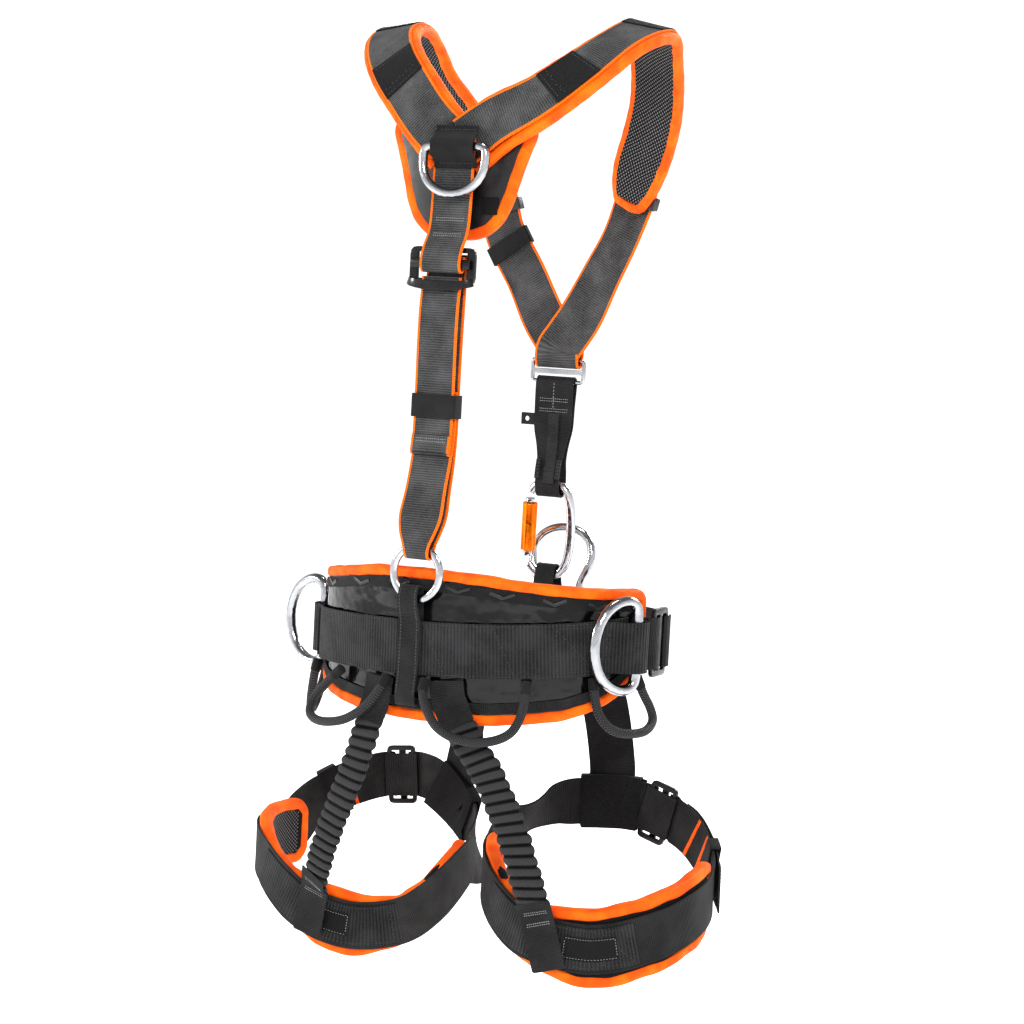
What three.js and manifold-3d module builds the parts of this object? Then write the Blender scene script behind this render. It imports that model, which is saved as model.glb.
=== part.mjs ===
// Full body work positioning harness, standing as worn. Sizes in mm, +X wearer's right, +Y forward, +Z up.
// Origin: the wearer's axis at the middle of the waist belt.
import * as THREE from 'three';
import { mergeVertices } from 'three/addons/utils/BufferGeometryUtils.js';
import Module from 'manifold-3d';

const wasm = await Module();
wasm.setup();

const WEB_W = 45;
const WEB_T = 2;
const BACK_W = 40;
const BELT_A = 158;
const BELT_X = 5;
const BELT_B = 122;
const BAND_W = 47;
const PAD_OUT = -3;
const PAD_IN = -14;
const THIGH_Y = 12;
const THIGH_R = 102.3;
const LEG_PAD_IN = 89;
const LEG_PAD_OUT = 100.2;
const YOKE_T = 9;
const YOKE_ARM_W = 53;
const RING_ROD = 9.6;
const DORSAL_ROD = 8;
const GEAR_ROD = 8;

// Colour, roughness and metalness of each material slot.
const LOOK = {
  webbing_grey: [0x4a4a4c, 0.85, 0],
  webbing_black: [0x2a2a2b, 0.85, 0],
  pad_textile: [0x262627, 0.9, 0],
  belt_laminate: [0x1c1c1d, 0.35, 0],
  steel: [0xc9cbcd, 0.2, 1],
  alloy: [0xb9bcc0, 0.25, 1],
  anodised_orange: [0xff6a00, 0.35, 0.8],
  black_steel: [0x1a1a1b, 0.4, 0.6],
  black_plastic: [0x202021, 0.5, 0],
  elastic_black: [0x242425, 0.9, 0],
  gear_tube: [0x333334, 0.7, 0],
  label_fabric: [0x3a3a3b, 0.8, 0],
};

const group = new THREE.Group();
const rad = (d) => d * Math.PI / 180;
const V = (x, y, z) => new THREE.Vector3(x, y, z);

function add(name, slot, geometry) {
  const [color, roughness, metalness] = LOOK[slot];
  const material = new THREE.MeshStandardMaterial({ color, roughness, metalness, name: slot });
  const mesh = new THREE.Mesh(geometry, material);
  mesh.name = name;
  group.add(mesh);
}

function volumeOf(pos, idx) {
  let v = 0;
  for (let i = 0; i < idx.length; i += 3) {
    const a = pos[idx[i]];
    const b = pos[idx[i + 1]];
    const c = pos[idx[i + 2]];
    v += a.dot(b.clone().cross(c));
  }
  return v / 6;
}

// Skin a row of point rings; closed joins the last ring to the first, open gets flat caps.
function loft(rings, closed) {
  const n = rings[0].length;
  const pos = rings.flat();
  const idx = [];
  const spans = closed ? rings.length : rings.length - 1;
  for (let i = 0; i < spans; i++) {
    const a = i * n;
    const b = ((i + 1) % rings.length) * n;
    for (let j = 0; j < n; j++) {
      const k = (j + 1) % n;
      idx.push(a + j, b + j, b + k, a + j, b + k, a + k);
    }
  }
  if (!closed) {
    const e = (rings.length - 1) * n;
    for (let j = 1; j < n - 1; j++) {
      idx.push(0, j, j + 1);
      idx.push(e, e + j + 1, e + j);
    }
  }
  if (volumeOf(pos, idx) < 0) {
    for (let i = 0; i < idx.length; i += 3) {
      const t = idx[i + 1];
      idx[i + 1] = idx[i + 2];
      idx[i + 2] = t;
    }
  }
  const g = new THREE.BufferGeometry();
  g.setAttribute('position', new THREE.Float32BufferAttribute(pos.flatMap((p) => [p.x, p.y, p.z]), 3));
  g.setIndex(idx);
  g.computeVertexNormals();
  return g;
}

function toManifold(geometry) {
  let g = geometry.clone();
  g.deleteAttribute('normal');
  g.deleteAttribute('uv');
  g = mergeVertices(g, 1e-4);
  return new wasm.Manifold(new wasm.Mesh({
    numProp: 3,
    vertProperties: new Float32Array(g.attributes.position.array),
    triVerts: new Uint32Array(g.index.array),
  }));
}

function fromManifold(m) {
  const parts = m.decompose();
  let best = parts[0];
  for (const p of parts) {
    if (p.volume() > best.volume()) best = p;
  }
  const mesh = best.getMesh();
  const g = new THREE.BufferGeometry();
  g.setAttribute('position', new THREE.Float32BufferAttribute(mesh.vertProperties, 3));
  g.setIndex(new THREE.Uint32BufferAttribute(mesh.triVerts, 1));
  g.computeVertexNormals();
  return g;
}

function unite(list) {
  let m = toManifold(list[0]);
  for (const g of list.slice(1)) m = m.add(toManifold(g));
  return fromManifold(m);
}

function carve(body, cutters) {
  let m = toManifold(body);
  for (const g of cutters) m = m.subtract(toManifold(g));
  return fromManifold(m);
}

// Catmull-Rom through rows of numbers; each row is sampled k times per span.
function smoothRows(rows, k, closed) {
  const out = [];
  const n = rows.length;
  const at = (i) => (closed ? rows[(i + n) % n] : rows[Math.min(Math.max(i, 0), n - 1)]);
  const spans = closed ? n : n - 1;
  for (let i = 0; i < spans; i++) {
    for (let s = 0; s < k; s++) {
      const t = s / k;
      const p0 = at(i - 1);
      const p1 = at(i);
      const p2 = at(i + 1);
      const p3 = at(i + 2);
      out.push(p1.map((_, c) => 0.5 * (2 * p1[c] + (p2[c] - p0[c]) * t
        + (2 * p0[c] - 5 * p1[c] + 4 * p2[c] - p3[c]) * t * t
        + (3 * p1[c] - p0[c] - 3 * p2[c] + p3[c]) * t * t * t)));
    }
  }
  if (!closed) out.push(rows[n - 1]);
  return out;
}

// Rows are x y z, normal x y z, width, thickness, lift along the normal.
function ribbonRings(rows, closed, grow) {
  const n = rows.length;
  const rings = [];
  for (let i = 0; i < n; i++) {
    const r = rows[i];
    const a = closed ? rows[(i + n - 1) % n] : rows[Math.max(i - 1, 0)];
    const b = closed ? rows[(i + 1) % n] : rows[Math.min(i + 1, n - 1)];
    const t = V(b[0] - a[0], b[1] - a[1], b[2] - a[2]).normalize();
    const side = t.clone().cross(V(r[3], r[4], r[5])).normalize();
    const up = side.clone().cross(t).normalize();
    const c = V(r[0], r[1], r[2]).addScaledVector(up, r[8] || 0);
    const w = r[6] / 2 + grow;
    const h = r[7] / 2 + grow;
    rings.push([[-w, -h], [w, -h], [w, h], [-w, h]].map(([x, y]) => (
      c.clone().addScaledVector(side, x).addScaledVector(up, y))));
  }
  return rings;
}

function ribbon(rows, k, closed = false, grow = 0) {
  return loft(ribbonRings(smoothRows(rows, k, closed), closed, grow), closed);
}

// Round rod through points; sides is the facet count of its section.
function rod(points, dia, k, closed, sides = 8, flat = 1) {
  const rows = smoothRows(points, k, closed);
  const n = rows.length;
  const rings = [];
  let ref = null;
  for (let i = 0; i < n; i++) {
    const a = closed ? rows[(i + n - 1) % n] : rows[Math.max(i - 1, 0)];
    const b = closed ? rows[(i + 1) % n] : rows[Math.min(i + 1, n - 1)];
    const t = V(b[0] - a[0], b[1] - a[1], b[2] - a[2]).normalize();
    if (!ref) ref = Math.abs(t.x) > 0.8 ? V(0, 1, 0) : V(1, 0, 0);
    const side = ref.clone().addScaledVector(t, -ref.dot(t)).normalize();
    ref = side.clone();
    const up = t.clone().cross(side);
    const ring = [];
    for (let j = 0; j < sides; j++) {
      const q = 2 * Math.PI * (j + 0.5) / sides;
      ring.push(V(rows[i][0], rows[i][1], rows[i][2])
        .addScaledVector(side, Math.cos(q) * dia / 2)
        .addScaledVector(up, Math.sin(q) * dia / 2 * flat));
    }
    rings.push(ring);
  }
  return loft(rings, closed);
}

// Planar ring of rod in its own x z plane, normal y. The section stays square to the plane.
function planeRing(points, dia, k, frame, depth = dia) {
  const rows = smoothRows(points, k, true);
  const n = rows.length;
  const rings = rows.map((p, i) => {
    const a = rows[(i + n - 1) % n];
    const b = rows[(i + 1) % n];
    const t = V(b[0] - a[0], 0, b[1] - a[1]).normalize();
    const out = V(t.z, 0, -t.x);
    const ring = [];
    for (let j = 0; j < 8; j++) {
      const q = 2 * Math.PI * (j + 0.5) / 8;
      const s = 1 / Math.cos(Math.PI / 8);
      ring.push(V(p[0], 0, p[1]).addScaledVector(out, Math.cos(q) * s * dia / 2)
        .add(V(0, Math.sin(q) * s * depth / 2, 0)).applyMatrix4(frame));
    }
    return ring;
  });
  return loft(rings, true);
}

function frameOf(x, y, z, origin) {
  const m = new THREE.Matrix4().makeBasis(x, y, z);
  m.setPosition(origin);
  return m;
}

function box(w, d, h, frame, x = 0, y = 0, z = 0) {
  const g = new THREE.BoxGeometry(w, d, h);
  g.translate(x, y, z);
  if (frame) g.applyMatrix4(frame);
  return g;
}

// Flat frame with rounded corners and rectangular windows, in local x z, thickness along y.
function flatFrame(w, h, t, corner, windows, frame) {
  const s = new THREE.Shape();
  const a = w / 2;
  const b = h / 2;
  s.moveTo(-a + corner, -b);
  s.lineTo(a - corner, -b);
  s.quadraticCurveTo(a, -b, a, -b + corner);
  s.lineTo(a, b - corner);
  s.quadraticCurveTo(a, b, a - corner, b);
  s.lineTo(-a + corner, b);
  s.quadraticCurveTo(-a, b, -a, b - corner);
  s.lineTo(-a, -b + corner);
  s.quadraticCurveTo(-a, -b, -a + corner, -b);
  const g = new THREE.ExtrudeGeometry(s, { depth: t, bevelEnabled: false, curveSegments: 3 });
  g.translate(0, 0, -t / 2);
  g.rotateX(Math.PI / 2);
  const cut = carve(g, windows.map(([x0, z0, x1, z1]) => (
    box(x1 - x0, t + 4, z1 - z0, null, (x0 + x1) / 2, 0, (z0 + z1) / 2))));
  cut.applyMatrix4(frame);
  return cut;
}

// Closed rectangular sleeve that wraps a strap: inner w by t, wall, length along local z.
function sleeve(w, t, wall, len, frame) {
  const s = new THREE.Shape();
  const a = w / 2 + wall;
  const b = t / 2 + wall;
  s.moveTo(-a, -b + 1);
  s.lineTo(-a + 1, -b);
  s.lineTo(a - 1, -b);
  s.lineTo(a, -b + 1);
  s.lineTo(a, b - 1);
  s.lineTo(a - 1, b);
  s.lineTo(-a + 1, b);
  s.lineTo(-a, b - 1);
  s.lineTo(-a, -b + 1);
  const hole = new THREE.Path();
  hole.moveTo(-w / 2, -t / 2);
  hole.lineTo(w / 2, -t / 2);
  hole.lineTo(w / 2, t / 2);
  hole.lineTo(-w / 2, t / 2);
  hole.lineTo(-w / 2, -t / 2);
  s.holes.push(hole);
  const g = new THREE.ExtrudeGeometry(s, { depth: len, bevelEnabled: false, curveSegments: 1 });
  g.translate(0, 0, -len / 2);
  g.applyMatrix4(frame);
  return g;
}

function lerpTable(table, x) {
  if (x <= table[0][0]) return table[0][1];
  for (let i = 1; i < table.length; i++) {
    if (x <= table[i][0]) {
      const t = (x - table[i - 1][0]) / (table[i][0] - table[i - 1][0]);
      const s = t * t * (3 - 2 * t);
      return table[i - 1][1] + (table[i][1] - table[i - 1][1]) * (0.5 * t + 0.5 * s);
    }
  }
  return table[table.length - 1][1];
}

// ---- waist belt -------------------------------------------------------------------------

function beltPoint(phi, d, z) {
  const a = rad(phi);
  return V(BELT_X + (BELT_A + d) * Math.sin(a), -(BELT_B + d) * Math.cos(a), z);
}

function beltNormal(phi) {
  const a = rad(phi);
  return V(Math.sin(a) / BELT_A, -Math.cos(a) / BELT_B, 0).normalize();
}

function beltRow(phi, d, z, w, t) {
  const p = beltPoint(phi, d, z);
  const n = beltNormal(phi);
  return [p.x, p.y, p.z, n.x, n.y, n.z, w, t, 0];
}

function beltFrame(phi, d, z) {
  const n = beltNormal(phi);
  const t = V(-n.y, n.x, 0);
  return frameOf(t, n.clone().negate(), V(0, 0, 1), beltPoint(phi, d, z));
}

const PAD_TOP = [[-90, 52], [-82, 54], [-61, 59], [-46, 63], [-33, 67], [-20, 71.5], [0, 73],
  [20, 71.5], [33, 68],
  [46, 66], [61, 64], [75, 63], [90, 62]];
const PAD_BOTTOM = [[-90, -14], [-82, -20], [-70, -34], [-60, -43], [-49, -50], [-35, -54], [-23, -57],
  [0, -58],
  [23, -57], [35, -54], [49, -50], [60, -43], [70, -34], [82, -18], [90, -8]];
const PAD_END_RIGHT = 89;
const PAD_END_LEFT = -88;
const RING_PHI = { right: 76, left: -86 };
const RING_Z = { right: 16.5, left: 2 };
const TAB_Z = { right: 15, left: -2 };
const BUCKLE_PHI = { right: 94, left: -106 };
const BUCKLE_Z = { right: 16.5, left: 1 };

function bandZ(phi) {
  if (phi > 0) return 5 + 12 * (phi / 76) ** 1.3;
  return 5 - 9 * (-phi / 88) ** 1.5;
}

function waistPad() {
  const rings = [];
  for (let i = 0; i <= 32; i++) {
    const phi = PAD_END_LEFT + (PAD_END_RIGHT - PAD_END_LEFT) * i / 32;
    const e = i === 0 || i === 32 ? 9 : 0;
    const zt = lerpTable(PAD_TOP, phi) - e;
    const zb = lerpTable(PAD_BOTTOM, phi) + e;
    const ring = [[PAD_OUT - 2, zb], [PAD_OUT, zb + 7], [PAD_OUT, zt - 7], [PAD_OUT - 2, zt],
      [PAD_IN + 3, zt], [PAD_IN, zt - 8], [PAD_IN, zb + 8], [PAD_IN + 3, zb]];
    rings.push(ring.map(([d, z]) => beltPoint(phi, d, z)));
  }
  return loft(rings, false);
}

function beltStrip(p0, p1, steps, d, w, t, zf, grow = 0) {
  const rows = [];
  for (let i = 0; i <= steps; i++) {
    const phi = p0 + (p1 - p0) * i / steps;
    rows.push(beltRow(phi, d, zf(phi), w, t));
  }
  return ribbon(rows, 1, false, grow);
}

function sideTab(side) {
  const c = RING_PHI[side];
  const s = Math.sign(c);
  const rows = [[-16, 3.9], [-11, 4.2], [-7.6, 8], [-5.6, 13.4], [-3, 16.9], [0, 17.9], [3, 16.5],
    [5, 11.8],
    [6.3, 7], [7.5, 5]];
  return ribbon(rows.map(([p, d]) => beltRow(c + s * p, d, TAB_Z[side], 44, WEB_T)), 2);
}

function sideRing(side, swing) {
  const c = RING_PHI[side];
  const bar = beltPoint(c, 10.6, RING_Z[side]);
  const back = V(Math.sign(c) * -beltNormal(c).y, Math.sign(c) * beltNormal(c).x, 0).multiplyScalar(-1);
  const out = back.applyAxisAngle(V(0, 0, 1), Math.sign(c) * rad(swing));
  const f = frameOf(out, V(0, 0, 1).cross(out), V(0, 0, 1), bar);
  const pts = [[0, -14], [0, -28], [3, -35], [10, -38.4], [22, -37], [35, -29], [43, -16], [46, 0],
    [43, 16], [35, 29], [22, 37], [10, 38.4], [3, 35], [0, 28], [0, 14], [0, 0]];
  return planeRing(pts, RING_ROD, 2, f);
}

function beltBuckle(side) {
  const f = beltFrame(BUCKLE_PHI[side], 7, BUCKLE_Z[side]);
  return flatFrame(34, 60, 3.6, 6, [[-12, -24.5, -2.5, 24.5], [2.5, -24.5, 12, 24.5]], f);
}

const GEAR = {
  rear_right: [[3.9, 4.8, -20], [3.9, 9.6, -31], [6.4, 15.5, -45], [10.5, 19, -59], [17, 20, -67],
    [25, 19, -67],
    [31.5, 15, -59], [35, 8.4, -42], [36.5, 2.2, -15.5]],
  rear_left: [[-10, 5, -21], [-11, 9.6, -32], [-15, 15.5, -50], [-22, 20, -64], [-32, 22, -70],
    [-40, 21, -67], [-42.5, 16, -55], [-38, 9, -38], [-33, 2.4, -24]],
  front_right: [[60, 2.2, -11.5], [60, 7, -28], [61, 12, -43], [64.5, 17, -54], [71, 19, -58],
    [79, 19, -57],
    [85, 16, -50], [86, 12, -40], [83.5, 7, -26], [81, 3.4, -11.5]],
  front_left: [[-63, 2.2, -26], [-63, 5, -38], [-65, 7, -56], [-68, 8, -69], [-73, 8, -75], [-78, 8, -71],
    [-81, 6, -58], [-81.5, 3, -44], [-80, 1, -31]],
};

function gearLoop(name) {
  return rod(GEAR[name].map(([p, d, z]) => beltPoint(p, d, z).toArray()), GEAR_ROD, 2, false, 8);
}

// ---- yoke, shoulder and back webbing ------------------------------------------------------

const ARM = {
  right: [
    [6, -91, 434, 0, -1, 0.05],
    [36, -90, 457, -0.05, -0.96, 0.24],
    [71, -83, 478, 0, -0.87, 0.45],
    [100, -64, 505, 0.02, -0.77, 0.62],
    [120, -38, 530, 0, -0.62, 0.78],
    [129, -10, 544, 0.15, -0.25, 0.95],
    [128, 18, 547, 0.22, 0.2, 0.95],
    [120, 45, 532, 0.24, 0.6, 0.75],
    [113, 67, 512, 0.22, 0.8, 0.5],
    [103, 88, 485, 0.18, 0.9, 0.36],
    [90, 103, 456, 0.12, 0.95, 0.24],
    [76, 113.5, 427, 0.14, 0.97, 0.12],
    [66, 120, 400, 0.24, 0.96, 0.05],
  ],
  left: [
    [-6, -91, 434, 0, -1, 0.05],
    [-29, -91, 458, -0.12, -0.95, 0.24],
    [-54, -85, 484, -0.24, -0.86, 0.42],
    [-80, -68, 507, -0.34, -0.7, 0.62],
    [-101, -44, 527, -0.34, -0.44, 0.84],
    [-115, -14, 541, -0.24, -0.1, 0.96],
    [-121, 18, 546, -0.1, 0.25, 0.95],
    [-124, 48, 534, 0.02, 0.6, 0.78],
    [-121, 74, 513, 0.22, 0.75, 0.55],
    [-112, 97, 486, 0.2, 0.88, 0.38],
    [-99, 111, 456, 0.16, 0.95, 0.22],
    [-85, 119.5, 426, 0.12, 0.98, 0.12],
    [-77, 122.5, 398, 0.1, 0.99, 0.05],
  ],
};

function armRows(side, width, thick, lift, from) {
  return ARM[side].slice(from).map((r) => [...r, width, thick, lift]);
}

function yokePlate() {
  const half = [[359, 16], [362, 27], [367, 35], [376, 43], [391, 50], [408, 55], [430, 62], [450, 69],
    [463, 62]];
  const rings = half.map(([z, w]) => {
    const ring = [];
    for (let j = 0; j <= 6; j++) {
      const x = -w + 2 * w * j / 6;
      ring.push(V(x, -88.5 + 0.0016 * x * x, z));
    }
    for (let j = 6; j >= 0; j--) {
      const x = (-w + 2 * w * j / 6) * 0.97;
      ring.push(V(x, -88.5 + 0.0016 * x * x + YOKE_T, z));
    }
    return ring;
  });
  return loft(rings, false);
}

function yokeArm(side) {
  const rows = smoothRows(armRows(side, YOKE_ARM_W, YOKE_T, -YOKE_T / 2, 0), 3, false);
  const n = rows.length;
  rows.forEach((r, i) => {
    const e = Math.min(1, (n - 1 - i + 0.3) / 3.2);
    r[6] *= 0.45 + 0.55 * Math.sqrt(1 - (1 - e) * (1 - e));
    if (i < 3) r[6] *= 0.8;
  });
  return loft(ribbonRings(rows, false, 0), false);
}

function down(x, y, z, nx, ny, nz) {
  return [x, y, z, nx, ny, nz || 0, WEB_W, WEB_T, 0];
}

function shoulderRows(side) {
  const rows = armRows(side, WEB_W, WEB_T, 1.6, 1);
  if (side === 'right') {
    rows.unshift([10, -91, 439, 0, -1, 0.05, WEB_W, WEB_T, 5.2]);
    rows[1][8] = 4.4;
    rows[2][8] = 2.2;
    rows.push(down(54, 121.6, 366, 0.3, 0.95), down(38.5, 119.4, 333, 0.22, 0.97),
      down(22, 116.6, 297, 0.03, 1));
    rows.push(down(7, 114.4, 273, 0, 1), down(0, 113, 262, 0, 1), down(0, 112.6, 254, 0, 1));
    rows.push(down(0, 113.6, 248.6, 0, 0.6, 0.8), down(0, 117, 246.4, 0, 0, 1),
      down(0, 120.4, 248.6, 0, -0.6, 0.8));
    rows.push(down(0, 122.4, 254, 0, -1), down(0, 123.6, 264, 0, -1));
  } else {
    rows.unshift([-9, -91, 441, 0, -1, 0.05, WEB_W, WEB_T, 1.4]);
    rows.push(down(-66, 123.4, 366, 0.12, 0.99), down(-42, 123.8, 328, 0.1, 0.99),
      down(-23, 123, 294, 0, 1));
    rows.push(down(-8, 120.7, 275, 0, 1), down(-1, 118.9, 266, 0, 1), down(0, 118.6, 258.5, 0, 1));
  }
  return rows;
}

// Frame riding on a ribbon: x across, y along the normal, z along the run.
function rideFrame(rows, index, lift) {
  const all = smoothRows(rows, 4, false);
  const i = Math.round(index * 4);
  const r = all[i];
  const ahead = all[i + 1];
  const behind = all[i - 1];
  const z = V(ahead[0] - behind[0], ahead[1] - behind[1], ahead[2] - behind[2]).normalize();
  const y = V(r[3], r[4], r[5]);
  y.addScaledVector(z, -y.dot(z)).normalize();
  return frameOf(y.clone().cross(z), y, z, V(r[0], r[1], r[2]).addScaledVector(y, r[8] + lift));
}

function yzStrip(path, width, t, k, closed, x = 0) {
  const n = path.length;
  const rows = path.map(([y, z, w], i) => {
    const a = closed ? path[(i + n - 1) % n] : path[Math.max(i - 1, 0)];
    const b = closed ? path[(i + 1) % n] : path[Math.min(i + 1, n - 1)];
    return [x, y, z, 0, b[1] - a[1], a[0] - b[0], w || width, t, 0];
  });
  return ribbon(rows, k, closed);
}

const BACK_UPPER = [[-99, 450], [-99.4, 438], [-99.8, 416], [-100.4, 392], [-102, 370], [-105.6, 358.5],
  [-110.8, 350], [-114.2, 342], [-115.4, 335.6], [-114.4, 330], [-111.4, 327.8], [-108.6, 330],
  [-107.8, 334.6],
  [-107.4, 341]];
const BACK_INNER = [[-101.6, 343], [-102.4, 325], [-103.4, 300], [-104.4, 270], [-104.9, 240], [-105, 216],
  [-105.3, 190], [-107.5, 165], [-112, 140], [-117.4, 119, 42], [-120.6, 105, 36], [-121.4, 95, 28],
  [-121.8, 88.5, 25], [-123.6, 84, 24], [-127, 82.4, 24], [-130.4, 84, 24], [-132.2, 88.5, 25],
  [-132.4, 95, 28],
  [-131, 105, 36], [-127, 119, 42], [-120.4, 141], [-114.4, 163], [-110.4, 183], [-109, 204], [-109, 226]];
const BACK_TAIL = [[-109.8, 323.6], [-109.8, 316], [-111.4, 305], [-112.6, 290], [-113, 262], [-112.6, 236],
  [-112.6, 200], [-113.4, 184], [-115.5, 171]];

function roundRing() {
  const f = frameOf(V(1, 0, 0), V(0, 1, 0), V(0, 0, 1), V(2, -127, 70));
  const pts = [];
  for (let i = 0; i < 28; i++) {
    const a = 2 * Math.PI * i / 28;
    pts.push([23 * Math.cos(a), 23 * Math.sin(a)]);
  }
  return planeRing(pts, 7.2, 1, f, 5);
}

const DORSAL_BAR = V(6.5, -105.3, 435);

function dorsalRing() {
  const a = rad(5);
  const f = frameOf(V(1, 0, 0), V(0, Math.cos(a), -Math.sin(a)), V(0, Math.sin(a), Math.cos(a)), DORSAL_BAR);
  const pts = [[-14, 0], [0, 0], [14, 0], [25, 0], [29.6, -3], [30.5, -10], [29.5, -20], [24.5, -30],
    [14.5, -37.5],
    [0, -40.6], [-14.5, -37.5], [-24.5, -30], [-29.5, -20], [-30.5, -10], [-29.6, -3], [-25, 0]];
  return planeRing(pts, DORSAL_ROD, 2, f);
}

// ---- chest link, carabiner and ventral parts ----------------------------------------------

const CAR_TOP = V(-2, 115, 138);
const CAR_BOTTOM = V(-6, 128, 50);

function carY(z) {
  return CAR_TOP.y + (CAR_TOP.z - z) / (CAR_TOP.z - CAR_BOTTOM.z) * (CAR_BOTTOM.y - CAR_TOP.y);
}

function carPoints(list) {
  return list.map(([x, z]) => [x, carY(z), z]);
}

const CAR_BODY = [[-20.8, 128.8], [-17, 134], [-9.5, 138], [0, 139], [9.5, 137], [16, 131.6], [19.6, 121],
  [20.3, 106], [19.3, 89], [17, 73], [12.5, 60.5], [5, 53], [-4, 50], [-13, 50.6], [-20.5, 54.8],
  [-25.4, 61.6]];
const GATE_LOW = [-26.6, 67];
const GATE_HIGH = [-21.9, 123.6];

function gateFrame() {
  const a = V(GATE_LOW[0], carY(GATE_LOW[1]), GATE_LOW[1]);
  const b = V(GATE_HIGH[0], carY(GATE_HIGH[1]), GATE_HIGH[1]);
  const z = b.clone().sub(a).normalize();
  const y = V(0, 1, 0).addScaledVector(z, -z.y).normalize();
  const x = y.clone().cross(z);
  return { f: frameOf(x, y, z, a), len: b.distanceTo(a), z, y };
}

function rodZ(d0, d1, z0, z1, frame, sides = 12) {
  const g = new THREE.CylinderGeometry(d1 / 2, d0 / 2, z1 - z0, sides);
  g.rotateX(Math.PI / 2);
  g.translate(0, 0, (z0 + z1) / 2);
  g.applyMatrix4(frame);
  return g;
}

function gateSleeve(frame) {
  const s = new THREE.Shape();
  for (let i = 0; i < 32; i++) {
    const a = 2 * Math.PI * i / 32;
    const r = i % 4 < 2 ? 7.2 : 6.6;
    if (i === 0) s.moveTo(r * Math.cos(a), r * Math.sin(a));
    else s.lineTo(r * Math.cos(a), r * Math.sin(a));
  }
  s.closePath();
  const hole = new THREE.Path();
  for (let i = 0; i < 12; i++) {
    const a = -2 * Math.PI * i / 12;
    if (i === 0) hole.moveTo(4.4 * Math.cos(a), 4.4 * Math.sin(a));
    else hole.lineTo(4.4 * Math.cos(a), 4.4 * Math.sin(a));
  }
  hole.closePath();
  s.holes.push(hole);
  const g = new THREE.ExtrudeGeometry(s, { depth: 45, bevelEnabled: false });
  g.translate(0, 0, 7);
  g.applyMatrix4(frame);
  return g;
}

function chestRing() {
  const f = frameOf(V(1, 0, 0), V(0, 1, 0), V(0, 0, 1), V(0, 117, 243));
  const pts = [[-26.6, -7], [-26, -9.2], [-24, -10], [0, -10], [24, -10], [26, -9.2], [26.6, -7], [26.6, 7],
    [26, 9.2], [24, 10], [0, 10], [-24, 10], [-26, 9.2], [-26.6, 7]];
  const wire = planeRing(pts, 4, 1, f);
  const bar = box(53, 2.6, 4.6, f, 0, 0, -0.6);
  return unite([wire, bar]);
}

const CONNECTOR = [[117, 237.2, 39], [120.4, 234, 39], [120.2, 226, 39], [118.4, 210, 39], [117.8, 190, 38],
  [118, 174, 31], [119.4, 160, 26], [121.6, 147, 25], [121.8, 136, 25], [119.4, 128.4, 25],
  [115, 126.4, 25],
  [110.6, 128.4, 25], [108.2, 136, 25], [108.6, 147, 25], [111, 160, 26], [112.6, 174, 31], [113, 190, 38],
  [113, 210, 39], [112.8, 226, 39], [113.6, 234, 39]];

function connectorTab() {
  const s = new THREE.Shape();
  s.moveTo(-35, -5.5);
  s.lineTo(4, -5.5);
  s.lineTo(4, 5.5);
  s.lineTo(-35, 5.5);
  s.lineTo(-35, -5.5);
  const hole = new THREE.Path();
  for (let i = 0; i < 10; i++) {
    const a = -2 * Math.PI * i / 10;
    if (i === 0) hole.moveTo(-29 + 2.4 * Math.cos(a), 2.4 * Math.sin(a));
    else hole.lineTo(-29 + 2.4 * Math.cos(a), 2.4 * Math.sin(a));
  }
  hole.closePath();
  s.holes.push(hole);
  const g = new THREE.ExtrudeGeometry(s, { depth: 1.4, bevelEnabled: false });
  g.rotateX(Math.PI / 2);
  g.translate(0, 115.6 + 0.7, 197);
  return g;
}

const VENTRAL_SLING = [[119.2, -20], [119.2, 8], [119.2, 34], [119.8, 46], [121.6, 53], [124, 59.4],
  [128, 61.4],
  [132, 59.4], [135, 52], [138, 43], [140.8, 34], [140.6, 26], [137, 18], [131.6, 10], [129.4, 0],
  [129.2, -20],
  [127.4, -25], [122.4, -25]];

function ventralRing() {
  const a = rad(12);
  const z = V(0, Math.sin(a), Math.cos(a));
  const y = V(0, Math.cos(a), -Math.sin(a));
  const f = frameOf(V(1, 0, 0), y, z, V(1, 134.4, 30));
  const pts = [[-8, 0], [0, 0], [8, 0], [18, 0], [22.4, 2.5], [23.2, 9], [23.6, 16], [26.5, 24], [30, 32],
    [31.4, 42], [28.6, 53], [21, 61.5], [11, 66], [0, 67.4], [-11, 66], [-21, 61.5], [-28.6, 53],
    [-31.4, 42],
    [-30, 32], [-26.5, 24], [-23.6, 16], [-23.2, 9], [-22.4, 2.5], [-18, 0]];
  return planeRing(pts, 8, 1, f);
}

// ---- legs ----------------------------------------------------------------------------------

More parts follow.
